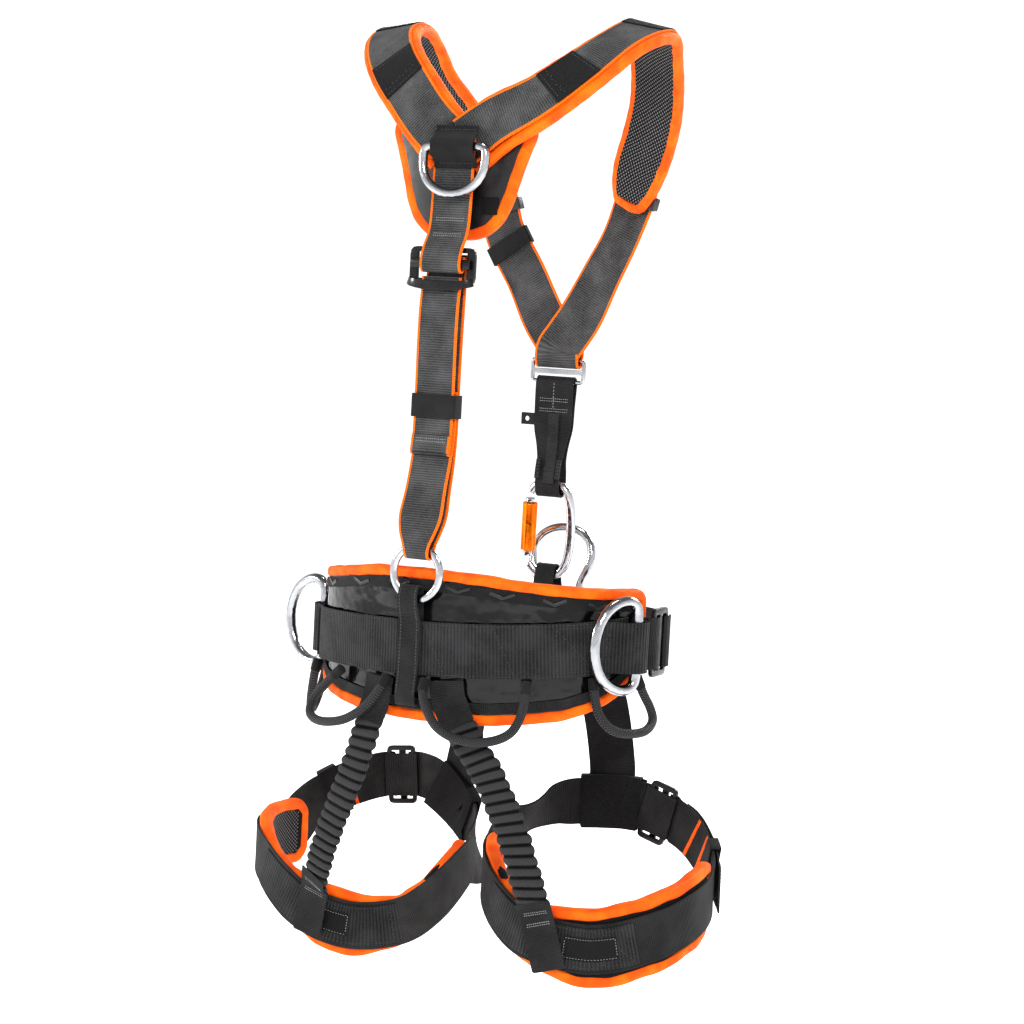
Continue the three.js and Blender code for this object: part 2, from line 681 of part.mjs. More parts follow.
const LEG = {
  right: {
    s: 1, x: 122, p0: -80, p1: 106,
    top: [[-80, -168], [-60, -172], [-46, -180], [-30, -196], [-15, -208], [2, -209], [25, -208],
      [46, -200],
      [68, -190], [89, -180], [108, -174]],
    bottom: [[-80, -214], [-60, -222], [-46, -233], [-25, -247], [-12, -259], [2, -267], [20, -275],
      [34, -274],
      [58, -263], [86, -249], [108, -236]],
    front: [[-99, -173], [-110, -167], [-120, -160], [-131, -152.5], [-141, -150], [-171, -148.5],
      [-197, -161], [-205, -166], [-223, -186], [-238, -198], [-254, -205]],
    buckle: 176, keeper: 134, link: -158, lean: [-92, -142, 38],
  },
  left: {
    s: -1, x: -118, p0: -107, p1: 97,
    top: [[-116, -178], [-101, -176], [-80, -176], [-60, -180], [-46, -187], [-28, -203], [-15, -214],
      [0, -221],
      [13, -225], [32, -232], [50, -232], [62, -222], [86, -196], [97, -186]],
    bottom: [[-116, -232], [-101, -236], [-80, -234], [-60, -231], [-36, -231], [-18, -248], [-5, -267],
      [10, -281],
      [26, -286], [47, -278], [70, -255], [90, -232], [97, -226]],
    front: [[115, -212], [129, -202], [141, -186.5], [174, -155], [182, -151.8], [207, -156],
      [224, -167], [242, -183], [253, -198]],
    buckle: -166, keeper: -130, link: 158, lean: [102, 142, 30],
  },
};

function legPoint(side, phi, r, z) {
  const a = rad(phi);
  return V(LEG[side].x + r * Math.sin(a), THIGH_Y - r * Math.cos(a), z);
}

function legZ(side, phi) {
  return (lerpTable(LEG[side].top, phi) + lerpTable(LEG[side].bottom, phi)) / 2;
}

function legPad(side) {
  const L = LEG[side];
  const rings = [];
  const n = 30;
  for (let i = 0; i <= n; i++) {
    const phi = L.p0 + (L.p1 - L.p0) * i / n;
    const e = Math.min(i, n - i);
    const pinch = e === 0 ? 13 : (e === 1 ? 3.5 : 0);
    const zt = lerpTable(L.top, phi) - pinch;
    const zb = lerpTable(L.bottom, phi) + pinch;
    const ring = [[LEG_PAD_OUT - 2, zb], [LEG_PAD_OUT, zb + 6], [LEG_PAD_OUT, zt - 6],
      [LEG_PAD_OUT - 2, zt],
      [LEG_PAD_IN + 2, zt], [LEG_PAD_IN, zt - 7], [LEG_PAD_IN, zb + 7], [LEG_PAD_IN + 2, zb]];
    rings.push(ring.map(([r, z]) => legPoint(side, phi, r, z)));
  }
  return loft(rings, false);
}

function legRow(side, phi, r, z, w, t) {
  const p = legPoint(side, phi, r, z);
  const a = rad(phi);
  const [from, to, most] = LEG[side].lean;
  const u = [phi - 360, phi, phi + 360].map((q) => (q - from) / (to - from)).find((q) => q > 0 && q < 1) || 0;
  const lean = rad(most) * Math.sin(Math.PI * u) ** 2;
  return [p.x, p.y, p.z, Math.sin(a) * Math.cos(lean), -Math.cos(a) * Math.cos(lean), Math.sin(lean), w, t, 0];
}

// Centre heights of the leg strap all round, by angle, running away from the buckle.
function legTrack(side) {
  const L = LEG[side];
  const pad = [];
  for (let i = 0; i <= 14; i++) {
    const phi = L.p0 + (L.p1 - L.p0) * i / 14;
    pad.push([phi, legZ(side, phi)]);
  }
  if (side === 'right') return pad.reverse().concat(L.front);
  return pad.concat(L.front);
}

function legTrackZ(side, phi) {
  const t = legTrack(side);
  let best = t[0];
  for (let i = 1; i < t.length; i++) {
    for (const turn of [-360, 0, 360]) {
      const a = t[i - 1][0];
      const b = t[i][0];
      const w = phi + turn;
      if ((w - a) * (w - b) <= 0) return t[i - 1][1] + (t[i][1] - t[i - 1][1]) * (w - a) / (b - a);
    }
    if (Math.abs(t[i][0] - phi) < Math.abs(best[0] - phi)) best = t[i];
  }
  return best[1];
}

// Local frame on the leg strap: x along the strap, y outward, z across it.
function legFrame(side, phi, r) {
  const p = legPoint(side, phi, r, legTrackZ(side, phi));
  const a = legPoint(side, phi - 3, r, legTrackZ(side, phi - 3));
  const b = legPoint(side, phi + 3, r, legTrackZ(side, phi + 3));
  const x = b.sub(a).normalize();
  const y = V(Math.sin(rad(phi)), -Math.cos(rad(phi)), 0);
  const z = x.clone().cross(y).normalize();
  const yy = z.clone().cross(x);
  return frameOf(x, yy, z, p);
}

const RISER = {
  right: [[32.5, -119.1, -20], [35, -119.1, -34], [40.5, -119, -46], [48.5, -118.5, -60],
    [61, -117, -78], [75, -115.5, -97],
    [90, -113.5, -124], [101.5, -110.5, -150], [111, -106, -180], [116, -101, -200], [119, -96.4, -214],
    [126, -94.4, -238], [133, -93, -262]],
  left: [[-34, -118.4, -23], [-35.5, -118.4, -38], [-38.5, -120.4, -54], [-42, -124, -70],
    [-46.5, -125.5, -87],
    [-54, -125, -109], [-67, -122, -139], [-82, -116, -171], [-94, -108.5, -198], [-101, -101.5, -216],
    [-104, -97, -226], [-109, -94.8, -248], [-112, -94.4, -268]],
};
const RISER_T = [2, 2, 3, 8, 8.6, 8.6, 8.6, 8.6, 8.6, 7, 2.4, 2, 2];

function riser(side) {
  const s = LEG[side].s;
  return RISER[side].map((p, i) => [...p, i > 9 ? 0.1 * s : 0.2 * s, -1, 0.05, 30, RISER_T[i], 0]);
}

// ---- assembly --------------------------------------------------------------------------------

const WORLD = (x, y, z) => frameOf(V(1, 0, 0), V(0, 1, 0), V(0, 0, 1), V(x, y, z));
const rowsR = shoulderRows('right');
const rowsL = shoulderRows('left');
const clearR = ribbon(rowsR, 3, false, 0.5);
const clearL = ribbon(rowsL, 3, false, 0.5);
const adjR = rideFrame(rowsR, 11.75, 0);
const adjL = rideFrame(rowsL, 12.25, 0);
const yoke = unite([yokePlate(), yokeArm('right'), yokeArm('left')]);
const adjClear = [adjR, adjL].map((f) => box(56, 10, 15, f));

add('yoke_pad', 'pad_textile', carve(yoke, [clearR, clearL, ...adjClear]));
add('shoulder_strap_right', 'webbing_grey', ribbon(rowsR, 3));
add('shoulder_strap_left', 'webbing_grey', ribbon(rowsL, 3));
add('front_adjuster_right', 'black_plastic', sleeve(46.6, 4.4, 2.2, 11, adjR));
add('front_adjuster_left', 'black_plastic', sleeve(46.4, 4, 2.2, 11, adjL));
add('front_keeper_left', 'elastic_black', sleeve(46.4, 3.8, 1.2, 17, rideFrame(rowsL, 13.25, 0)));

add('back_strap_upper', 'webbing_grey', yzStrip(BACK_UPPER, BACK_W, WEB_T, 2, false, 3));
add('back_strap_lower', 'webbing_grey', yzStrip(BACK_INNER, BACK_W, WEB_T, 1, false, 3));
add('back_strap_tail', 'webbing_grey', yzStrip(BACK_TAIL, BACK_W - 1, WEB_T, 1, false, 2.5));
const lip = ribbon([[-31, -107.4, 319.4, 0, -1, 0, 6.4, 3.4, 0], [-26.5, -112.2, 318, -0.3, -1, 0, 7, 3.2, 0],
  [-14, -113.8, 316.4, 0, -1, 0, 8, 3.2, 0], [0, -114.4, 315.6, 0, -1, 0, 8.6, 3.2, 0],
  [14, -113.8, 316.4, 0, -1, 0, 8, 3.2, 0], [26.5, -112.2, 318, 0.3, -1, 0, 7, 3.2, 0],
  [31, -107.4, 319.4, 0, -1, 0, 6.4, 3.4, 0]], 2);
add('back_adjuster_frame', 'black_steel', unite([
  flatFrame(64, 32, 3.6, 7, [[-24.5, -11, 24.5, 11.5]], WORLD(1, -106.5, 333)), lip]));
add('back_adjuster_bar', 'black_steel', box(58, 2.6, 8, WORLD(1, -111.8, 334.8)));
add('back_strap_keeper', 'elastic_black', sleeve(41.2, 11, 1.2, 20, WORLD(2.8, -108.8, 213)));

add('dorsal_ring', 'steel', dorsalRing());
add('dorsal_ring_band', 'webbing_black', yzStrip([[-101.6, 453], [-102.4, 448.5], [-106, 444], [-110, 440],
  [-111.6, 435], [-110.2, 430], [-106.4, 425.5], [-102.8, 421.5], [-102.2, 417]], 42, 1.6, 2, false, 6));
const tagX = V(Math.cos(rad(6)), Math.sin(rad(6)), 0);
const tagY = V(-tagX.y, tagX.x, 0);
add('dorsal_tag', 'label_fabric', box(15, 1, 15, frameOf(tagX, tagY, V(0, 0, 1), V(33, -87.8, 386))));

add('waist_ring', 'steel', roundRing());
add('waist_ring_sling', 'webbing_black', yzStrip([[-120.1, -34], [-120.1, -6], [-120.1, 26],
  [-120.3, 42], [-121.2, 51], [-123.4, 57], [-127, 58.8], [-130.6, 57], [-132.6, 51], [-132, 42, 20],
  [-129.6, 34, 21], [-127.4, 26, 22], [-127, 0, 22], [-127.4, -20, 21], [-129.4, -34, 20],
  [-128.6, -42, 20], [-125.4, -45, 20], [-122, -41, 20]], 19, 1.6, 2, false, -2.6));

add('waist_pad', 'belt_laminate', waistPad());
add('waist_band', 'webbing_black', beltStrip(-88, 75.8, 32, 1.2, BAND_W, 2.4, bandZ));

const FRONT_TURNS = [[9.8, 10.8], [6.4, 12], [3.6, 10.6], [3.2, 7], [4.2, 3.4], [7, 1.6], [11, 1.2],
  [19, 1.2]];
const TAB_TURNS = [[-17, 1.2], [-12.5, 1.6], [-8.6, 2.1], [-5.9, 3.4], [-3.9, 5.2], [-3.6, 8.6],
  [-4.8, 11.6],
  [-7, 12], [-9, 10], [-10.2, 7.6]];
for (const side of ['right', 'left']) {
  const c = BUCKLE_PHI[side];
  const s = Math.sign(c);
  add(`side_ring_${side}`, 'steel', sideRing(side, side === 'right' ? -6.5 : 110));
  add(`side_ring_tab_${side}`, 'webbing_black', sideTab(side));
  add(`belt_buckle_${side}`, 'black_steel', beltBuckle(side));
  const z = BUCKLE_Z[side];
  const tab = TAB_TURNS.map(([p, d]) => beltRow(c + s * p, d, z, WEB_W, WEB_T));
  add(`belt_tab_${side}`, 'webbing_black', ribbon(tab, 2));
  const front = FRONT_TURNS.map(([p, d]) => [Math.abs(c) + p, d, z]);
  for (let i = 1; i <= 5; i++) {
    front.push([Math.abs(c) + 19 + (157.5 - Math.abs(c)) * i / 5, 1.2, z + (9.5 - z) * i / 5]);
  }
  const strap = front.map(([p, d, h]) => beltRow(s * p, d, h, WEB_W, WEB_T));
  add(`belt_front_${side}`, 'webbing_black', ribbon(strap, 2));
}
for (const name of Object.keys(GEAR)) add(`gear_loop_${name}`, 'gear_tube', gearLoop(name));
add('belt_centre_panel', 'webbing_black', beltStrip(163, 197, 8, 3.8, 44, 2, () => 9.5));

add('chest_ring', 'steel', chestRing());
add('chest_connector', 'webbing_grey', yzStrip(CONNECTOR, 45, WEB_T, 1, true, -0.8));
add('chest_connector_tab', 'webbing_black', connectorTab());

const gf = gateFrame();
add('carabiner_body', 'alloy', rod(carPoints(CAR_BODY), 9, 2, false, 10));
add('carabiner_gate', 'alloy', unite([rodZ(7.6, 7.6, 1.6, gf.len - 1.2, gf.f),
  rodZ(9, 8.4, 1.2, 6, gf.f), rodZ(8.6, 9, gf.len - 4.2, gf.len - 0.6, gf.f)]));
add('carabiner_sleeve', 'anodised_orange', gateSleeve(gf.f));
add('ventral_sling', 'webbing_black', yzStrip(VENTRAL_SLING, 20, 1.8, 2, true, -5.4));
add('ventral_ring', 'steel', ventralRing());

// Rows along the leg strap from just past the buckle, right round to its other side.
function legWebRows(side) {
  const s = LEG[side].s;
  const b = LEG[side].buckle;
  const ends = [[4, 103.6], [4.9, 106.6], [6.2, 107.9], [8, 107], [10.4, 103.8]];
  const rows = ends.map(([p, r]) => legRow(side, b - s * p, r, legTrackZ(side, b - s * p), 43, WEB_T));
  for (let i = 1; i < 48; i++) {
    const phi = b - s * (10.4 + (360 - 20.8) * i / 48);
    rows.push(legRow(side, phi, THIGH_R, legTrackZ(side, phi), 43, WEB_T));
  }
  for (const [p, r] of ends.slice().reverse()) {
    rows.push(legRow(side, b + s * p, r, legTrackZ(side, b + s * p), 43, WEB_T));
  }
  return rows;
}

// Tube of webbing round the leg strap between two angles.
function legSleeve(side, p0, p1, r, w, t, wall) {
  const over = (p1 - p0) * 0.3;
  const run = (a, b, width, thick) => {
    const rows = [];
    for (let i = 0; i <= 4; i++) {
      const phi = a + (b - a) * i / 4;
      rows.push(legRow(side, phi, r, legTrackZ(side, phi), width, thick));
    }
    return ribbon(rows, 1);
  };
  const body = run(p0, p1, w + 2 * wall, t + 2 * wall);
  return carve(body, [run(p0 - over, p1 + over, w, t)]);
}

// Front link: webbing from behind the waist belt down into the fold on the leg strap.
function linkRows(side, end) {
  const s = LEG[side].s;
  const c = LEG[side].link;
  const z = legTrackZ(side, c);
  const rows = [27, -12, -34].map((h) => beltRow(s > 0 ? 158 : -154, -3.8, h, 42, WEB_T));
  const foot = [32, 20, end].map((h) => legRow(side, c, THIGH_R + 3.2, z + h, 42, WEB_T));
  const top = rows[2];
  const low = foot[0];
  for (const t of [0.33, 0.66]) {
    rows.push(top.map((v, i) => v + (low[i] - v) * t + (i === 1 ? 4 : 0)));
  }
  return rows.concat(foot);
}

for (const side of ['right', 'left']) {
  const L = LEG[side];
  const s = L.s;
  const link = ribbon(linkRows(side, 14), 2);
  const bf = legFrame(side, L.buckle, THIGH_R);
  add(`leg_pad_${side}`, 'pad_textile', legPad(side));
  add(`leg_strap_${side}`, 'webbing_black', ribbon(legWebRows(side), 1));
  add(`riser_${side}`, 'elastic_black', ribbon(riser(side), 2));
  add(`leg_buckle_${side}`, 'black_steel', flatFrame(28, 56, 3.6, 5, [[-9.8, -23.5, 9.8, 23.5]], bf));
  add(`leg_buckle_bar_${side}`, 'black_steel', box(6.4, 2.6, 54, bf, 0, 3.7, 0));
  const k = L.keeper;
  add(`leg_keeper_${side}`, 'elastic_black', legSleeve(side, k - 4.5, k + 4.5, THIGH_R + 2, 45.4, 8, 1.2));
  const tail = [];
  for (let i = 0; i <= 10; i++) {
    const phi = L.buckle - s * (14 + 52 * i / 10);
    const lift = i > 8 ? (i - 8) * 1.2 : 0;
    tail.push(legRow(side, phi, THIGH_R + 3.7 + lift, legTrackZ(side, phi), 42, WEB_T));
  }
  add(`leg_strap_tail_${side}`, 'webbing_black', ribbon(tail, 1));
  add(`leg_link_${side}`, 'webbing_black', link);
  const fold = legSleeve(side, L.link - 15, L.link + 15, THIGH_R + 1.4, 46.2, 7.4, 1.4);
  add(`leg_link_fold_${side}`, 'webbing_black', carve(fold, [ribbon(linkRows(side, 12), 2, false, 0.4)]));
}

export default group;
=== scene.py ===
"""Full body harness: the visible model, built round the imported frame.

Lengths are in mm until a mesh is made.
"""
import math
import bpy
import numpy as np
from mathutils import Matrix, Vector


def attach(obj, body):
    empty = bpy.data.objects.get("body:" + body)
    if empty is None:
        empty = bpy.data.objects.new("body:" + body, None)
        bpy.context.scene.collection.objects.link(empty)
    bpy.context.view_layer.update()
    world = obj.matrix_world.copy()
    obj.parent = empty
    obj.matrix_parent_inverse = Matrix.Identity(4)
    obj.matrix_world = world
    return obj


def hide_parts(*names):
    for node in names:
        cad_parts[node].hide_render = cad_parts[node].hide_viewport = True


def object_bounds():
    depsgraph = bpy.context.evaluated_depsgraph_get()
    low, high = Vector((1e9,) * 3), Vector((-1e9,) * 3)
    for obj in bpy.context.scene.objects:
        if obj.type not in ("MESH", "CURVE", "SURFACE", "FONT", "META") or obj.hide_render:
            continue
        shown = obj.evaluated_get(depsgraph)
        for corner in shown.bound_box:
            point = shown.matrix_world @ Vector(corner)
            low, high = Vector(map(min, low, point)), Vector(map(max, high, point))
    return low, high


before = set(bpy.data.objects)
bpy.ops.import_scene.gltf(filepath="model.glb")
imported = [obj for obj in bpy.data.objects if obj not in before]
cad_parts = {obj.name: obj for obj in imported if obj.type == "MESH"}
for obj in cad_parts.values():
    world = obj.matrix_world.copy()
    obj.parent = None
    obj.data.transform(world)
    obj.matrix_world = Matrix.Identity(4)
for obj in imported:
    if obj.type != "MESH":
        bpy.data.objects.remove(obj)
CAD_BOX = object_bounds()
MM = 0.001
WEB_W = 45  # harness webbing
WEB_T = 2


# ---- camera, floor and light ----

def look_matrix(azimuth, yaw, pitch, roll, place):
    """Camera matrix for a level azimuth, then yaw, pitch down and roll, in degrees."""
    a = math.radians(azimuth + yaw)
    p = math.radians(pitch)
    q = math.radians(roll)
    ahead = Vector((-math.sin(a) * math.cos(p), math.cos(a) * math.cos(p), -math.sin(p)))
    right = ahead.cross(Vector((0, 0, 1))).normalized()
    up = right.cross(ahead)
    across = right * math.cos(q) + up * math.sin(q)
    above = up * math.cos(q) - right * math.sin(q)
    turn = Matrix((across, above, -ahead)).transposed().to_4x4()
    return Matrix.Translation(place) @ turn


def area_light(name, place, aim, size, power):
    lamp = bpy.data.lights.new(name, "AREA")
    lamp.shape = "DISK"
    lamp.size = size
    lamp.energy = power
    obj = bpy.data.objects.new(name, lamp)
    obj.location = place
    obj.rotation_euler = (Vector(aim) - Vector(place)).to_track_quat("-Z", "Y").to_euler()
    bpy.context.scene.collection.objects.link(obj)


def studio():
    cam = bpy.data.cameras.new("camera")
    cam.lens = 98.44
    cam.sensor_width = 36
    obj = bpy.data.objects.new("camera", cam)
    obj.matrix_world = look_matrix(29, -0.458, 4.516, 3, (1.212, -2.1865, 0.315))
    bpy.context.scene.collection.objects.link(obj)
    bpy.context.scene.camera = obj
    low = CAD_BOX[0][2]
    bpy.ops.mesh.primitive_plane_add(size=400, location=(0, 0, low - 0.03))
    floor = bpy.context.object
    floor.name = "floor"
    mat = bpy.data.materials.new("floor_pale")
    mat.use_nodes = True
    shade = mat.node_tree.nodes["Principled BSDF"]
    shade.inputs["Base Color"].default_value = (0.9, 0.9, 0.9, 1)
    shade.inputs["Roughness"].default_value = 1.0
    shade.inputs["Emission Color"].default_value = (1, 1, 1, 1)
    shade.inputs["Emission Strength"].default_value = 0.62
    floor.data.materials.append(mat)
    world = bpy.data.worlds.new("studio")
    world.use_nodes = True
    nodes = world.node_tree.nodes
    nodes["Background"].inputs[0].default_value = (1, 1, 1, 1)
    split = nodes.new("ShaderNodeSeparateXYZ")
    fade = nodes.new("ShaderNodeMapRange")
    for i, v in enumerate((0.12, 0.75, 1.0, 0.18)):
        fade.inputs[i + 1].default_value = v
    world.node_tree.links.new(nodes.new("ShaderNodeTexCoord").outputs["Generated"], split.inputs[0])
    world.node_tree.links.new(split.outputs[2], fade.inputs[0])
    world.node_tree.links.new(fade.outputs[0], nodes["Background"].inputs[1])
    bpy.context.scene.world = world
    bpy.context.scene.view_settings.view_transform = "Standard"
    bpy.context.scene.view_settings.look = "Medium High Contrast"
    area_light("key", (1.7, -2.3, 2.0), (0, 0, 0.1), 0.7, 60)
    area_light("left", (-2.3, -1.2, 0.7), (0, 0, 0.1), 0.5, 26)
    area_light("front", (0.6, 2.4, 1.5), (0, 0, 0.1), 1.0, 40)
    area_light("top", (0, 0.2, 2.3), (0, 0, 0), 0.6, 16)


# ---- materials ----

class Look:
    """A principled material whose sockets are fed by short node chains."""

    def __init__(self, name, rough, metal=0.0, sheen=0.0, coat=0.0):
        self.mat = bpy.data.materials.new(name)
        self.mat.use_nodes = True
        self.tree = self.mat.node_tree
        self.shade = self.tree.nodes["Principled BSDF"]
        self.shade.inputs["Roughness"].default_value = rough
        self.shade.inputs["Metallic"].default_value = metal
        self.shade.inputs["Sheen Weight"].default_value = sheen
        self.shade.inputs["Sheen Roughness"].default_value = 0.45
        self.shade.inputs["Specular IOR Level"].default_value = 0.5 if rough < 0.55 or metal else 0.2
        self.shade.inputs["Coat Weight"].default_value = coat
        self.shade.inputs["Coat Roughness"].default_value = 0.15

    def put(self, socket, value):
        if isinstance(value, bpy.types.NodeSocket):
            self.tree.links.new(value, socket)
        elif isinstance(value, (tuple, list)):
            socket.default_value = (*value, 1)
        else:
            socket.default_value = value

    def math(self, op, *values):
        n = self.tree.nodes.new("ShaderNodeMath")
        n.operation = op
        for socket, value in zip(n.inputs, values):
            self.put(socket, value)
        return n.outputs[0]

    def wave(self, value, pitch, phase=0.0):
        """A 0 to 1 sine along value."""
        turn = self.math("MULTIPLY_ADD", value, 2 * math.pi / pitch, phase)
        return self.math("MULTIPLY_ADD", self.math("SINE", turn), 0.5, 0.5)

    def between(self, value, low, high, to_low=0.0, to_high=1.0):
        n = self.tree.nodes.new("ShaderNodeMapRange")
        n.interpolation_type = "SMOOTHSTEP"
        self.put(n.inputs[0], value)
        for i, v in enumerate((low, high, to_low, to_high)):
            n.inputs[i + 1].default_value = v
        return n.outputs[0]

    def mix(self, factor, a, b):
        n = self.tree.nodes.new("ShaderNodeMix")
        n.data_type = "RGBA"
        self.put(n.inputs[0], factor)
        self.put(n.inputs[6], a)
        self.put(n.inputs[7], b)
        return n.outputs[2]

    def place(self):
        return self.tree.nodes.new("ShaderNodeTexCoord").outputs["Object"]

    def noise(self, scale, detail=3.0):
        n = self.tree.nodes.new("ShaderNodeTexNoise")
        self.tree.links.new(self.place(), n.inputs["Vector"])
        n.inputs["Scale"].default_value = scale
        n.inputs["Detail"].default_value = detail
        return n.outputs[0]

    def web(self):
        """Along, across and in-from-the-edge, in mm, on a swept piece."""
        a = self.tree.nodes.new("ShaderNodeAttribute")
        a.attribute_name = "web"
        s = self.tree.nodes.new("ShaderNodeSeparateXYZ")
        self.tree.links.new(a.outputs["Vector"], s.inputs[0])
        return s.outputs[0], s.outputs[1], s.outputs[2]

    def colour(self, value):
        self.put(self.shade.inputs["Base Color"], value)
        return self

    def bump(self, height, depth, strength=1.0):
        n = self.tree.nodes.new("ShaderNodeBump")
        n.inputs["Distance"].default_value = depth * MM
        n.inputs["Strength"].default_value = strength
        self.tree.links.new(height, n.inputs["Height"])
        self.tree.links.new(n.outputs[0], self.shade.inputs["Normal"])
        return self


ORANGE = (0.92, 0.105, 0.002)
AMBER = (1.0, 0.2, 0.004)
RED_ORANGE = (0.72, 0.045, 0.001)
RUFFLE = 9.6  # from one gather of a riser to the next


def grey(value, blue):
    return value, value, blue


def webbing(name, dark, light, pitch, edge=None, depth=0.35):
    """Woven strap: cross ribs every pitch mm, fine thread rows and an optional coloured selvedge."""
    k = Look(name, 0.78, sheen=0.06)
    along, across, inside = k.web()
    weave = k.math("MULTIPLY_ADD", k.wave(across, 1.25), 0.3, k.math("MULTIPLY", k.wave(along, pitch), 0.7))
    fleck = k.between(k.noise(900, 2), 0.3, 0.75)
    cloud = k.between(k.noise(45, 2), 0.25, 0.8, -0.25, 0.25)
    tone = k.math("ADD", k.math("MULTIPLY_ADD", weave, 0.7, 0.1), cloud)
    body = k.mix(tone, dark, light)
    body = k.mix(k.math("MULTIPLY", fleck, 0.35), body, light)
    if edge:
        selvedge = k.mix(k.math("MULTIPLY", k.wave(along, 2.1), 0.6), edge, ORANGE)
        body = k.mix(k.between(inside, 2.5, 1.9), body, selvedge)
    return k.colour(body).bump(weave, depth).mat


def ruffled_painted_gap_shade(name, dark, light, pitch, slant):
    """Elastic strap whose gathers are pitch mm apart, with near-black painted shade in the gaps between the
    lumps.
    """
    k = Look(name, 0.8, sheen=0.05)
    along, across, _ = k.web()
    leaning = k.math("MULTIPLY_ADD", across, slant, along)
    # lump is 0 in the creases between gathers, where the near-black painted shade goes, and 1 on the
    # gathers
    lump = k.between(k.wave(leaning, pitch, -math.pi / 2), 0.02, 0.5)
    threads = k.math("MULTIPLY", k.wave(across, 1.5), k.wave(along, 1.1))
    body = k.mix(k.math("MULTIPLY_ADD", threads, 0.7, 0.5), dark, light)
    k.colour(k.mix(lump, grey(0.0015, 0.0016), body))
    return k.bump(threads, 0.35).mat


def spacer_mesh(name):
    """Open knit: a diamond lattice of pale threads round dark holes."""
    k = Look(name, 0.85, sheen=0.05)
    along, across, _ = k.web()
    plus = k.math("ADD", k.math("MULTIPLY", along, 1 / 4.4), k.math("MULTIPLY", across, 1 / 3.6))
    minus = k.math("SUBTRACT", k.math("MULTIPLY", along, 1 / 4.4), k.math("MULTIPLY", across, 1 / 3.6))
    net = k.math("MULTIPLY", k.wave(plus, 1.0), k.wave(minus, 1.0))
    thread = k.between(net, 0.12, 0.5)
    k.colour(k.mix(thread, (0.004, 0.004, 0.0045), grey(0.17, 0.175)))
    return k.bump(thread, 0.9).mat


def binding_look(name):
    k = Look(name, 0.62, sheen=0.04)
    ribs = k.wave(k.web()[0], 0.9)
    cloud = k.between(k.noise(60, 3), 0.3, 0.72)
    base = k.mix(cloud, ORANGE, AMBER)
    base = k.mix(k.math("MULTIPLY", ribs, 0.3), base, RED_ORANGE)
    return k.colour(base).bump(ribs, 0.12).mat


def laminate(name):
    k = Look(name, 0.2)
    patch = k.between(k.noise(26, 2), 0.4, 0.7)
    wrinkle = k.math("MULTIPLY_ADD", k.noise(32, 2), 4.0, k.math("MULTIPLY", k.noise(420, 3), 0.1))
    k.colour(k.mix(patch, (0.003, 0.003, 0.0034), grey(0.007, 0.0075)))
    k.shade.inputs["Specular IOR Level"].default_value = 0.42
    k.put(k.shade.inputs["Roughness"], k.between(k.noise(30, 3), 0.3, 0.7, 0.07, 0.17))
    return k.bump(wrinkle, 0.8).mat


def plain_cloth(name, dark, light, rough=0.85):
    k = Look(name, rough, sheen=0.05)
    grain = k.noise(1100, 3)
    k.colour(k.mix(k.between(grain, 0.3, 0.7), dark, light))
    return k.bump(grain, 0.18).mat


def metal(name, colour, rough, worn):
    k = Look(name, rough, metal=1.0)
    scratch = k.noise(260, 5)
    k.put(k.shade.inputs["Roughness"], k.between(scratch, 0.3, 0.75, rough * 0.75, rough * 1.6))
    k.colour(k.mix(k.between(k.noise(35, 3), 0.35, 0.8), colour, worn))
    return k.bump(scratch, 0.03).mat


def dark_solid(name, dark, light, rough, metallic=0.0):
    k = Look(name, rough, metal=metallic, coat=0.15)
    grain = k.noise(700, 3)
    k.put(k.shade.inputs["Roughness"], k.between(k.noise(90, 3), 0.3, 0.7, rough * 0.8, rough * 1.25))
    k.colour(k.mix(k.between(grain, 0.3, 0.7), dark, light))
    return k.bump(grain, 0.06).mat


def braid(name):
    """Round cord sheath: two sets of slanting strands."""
    k = Look(name, 0.6, sheen=0.05)
    along, around, _ = k.web()
    a = k.wave(k.math("ADD", along, around), 2.4)
    b = k.wave(k.math("SUBTRACT", along, around), 2.4)
    strands = k.math("MAXIMUM", a, b)
    k.colour(k.mix(k.between(strands, 0.5, 1.0), (0.008, 0.008, 0.009), grey(0.05, 0.053)))
    return k.bump(strands, 0.35).mat


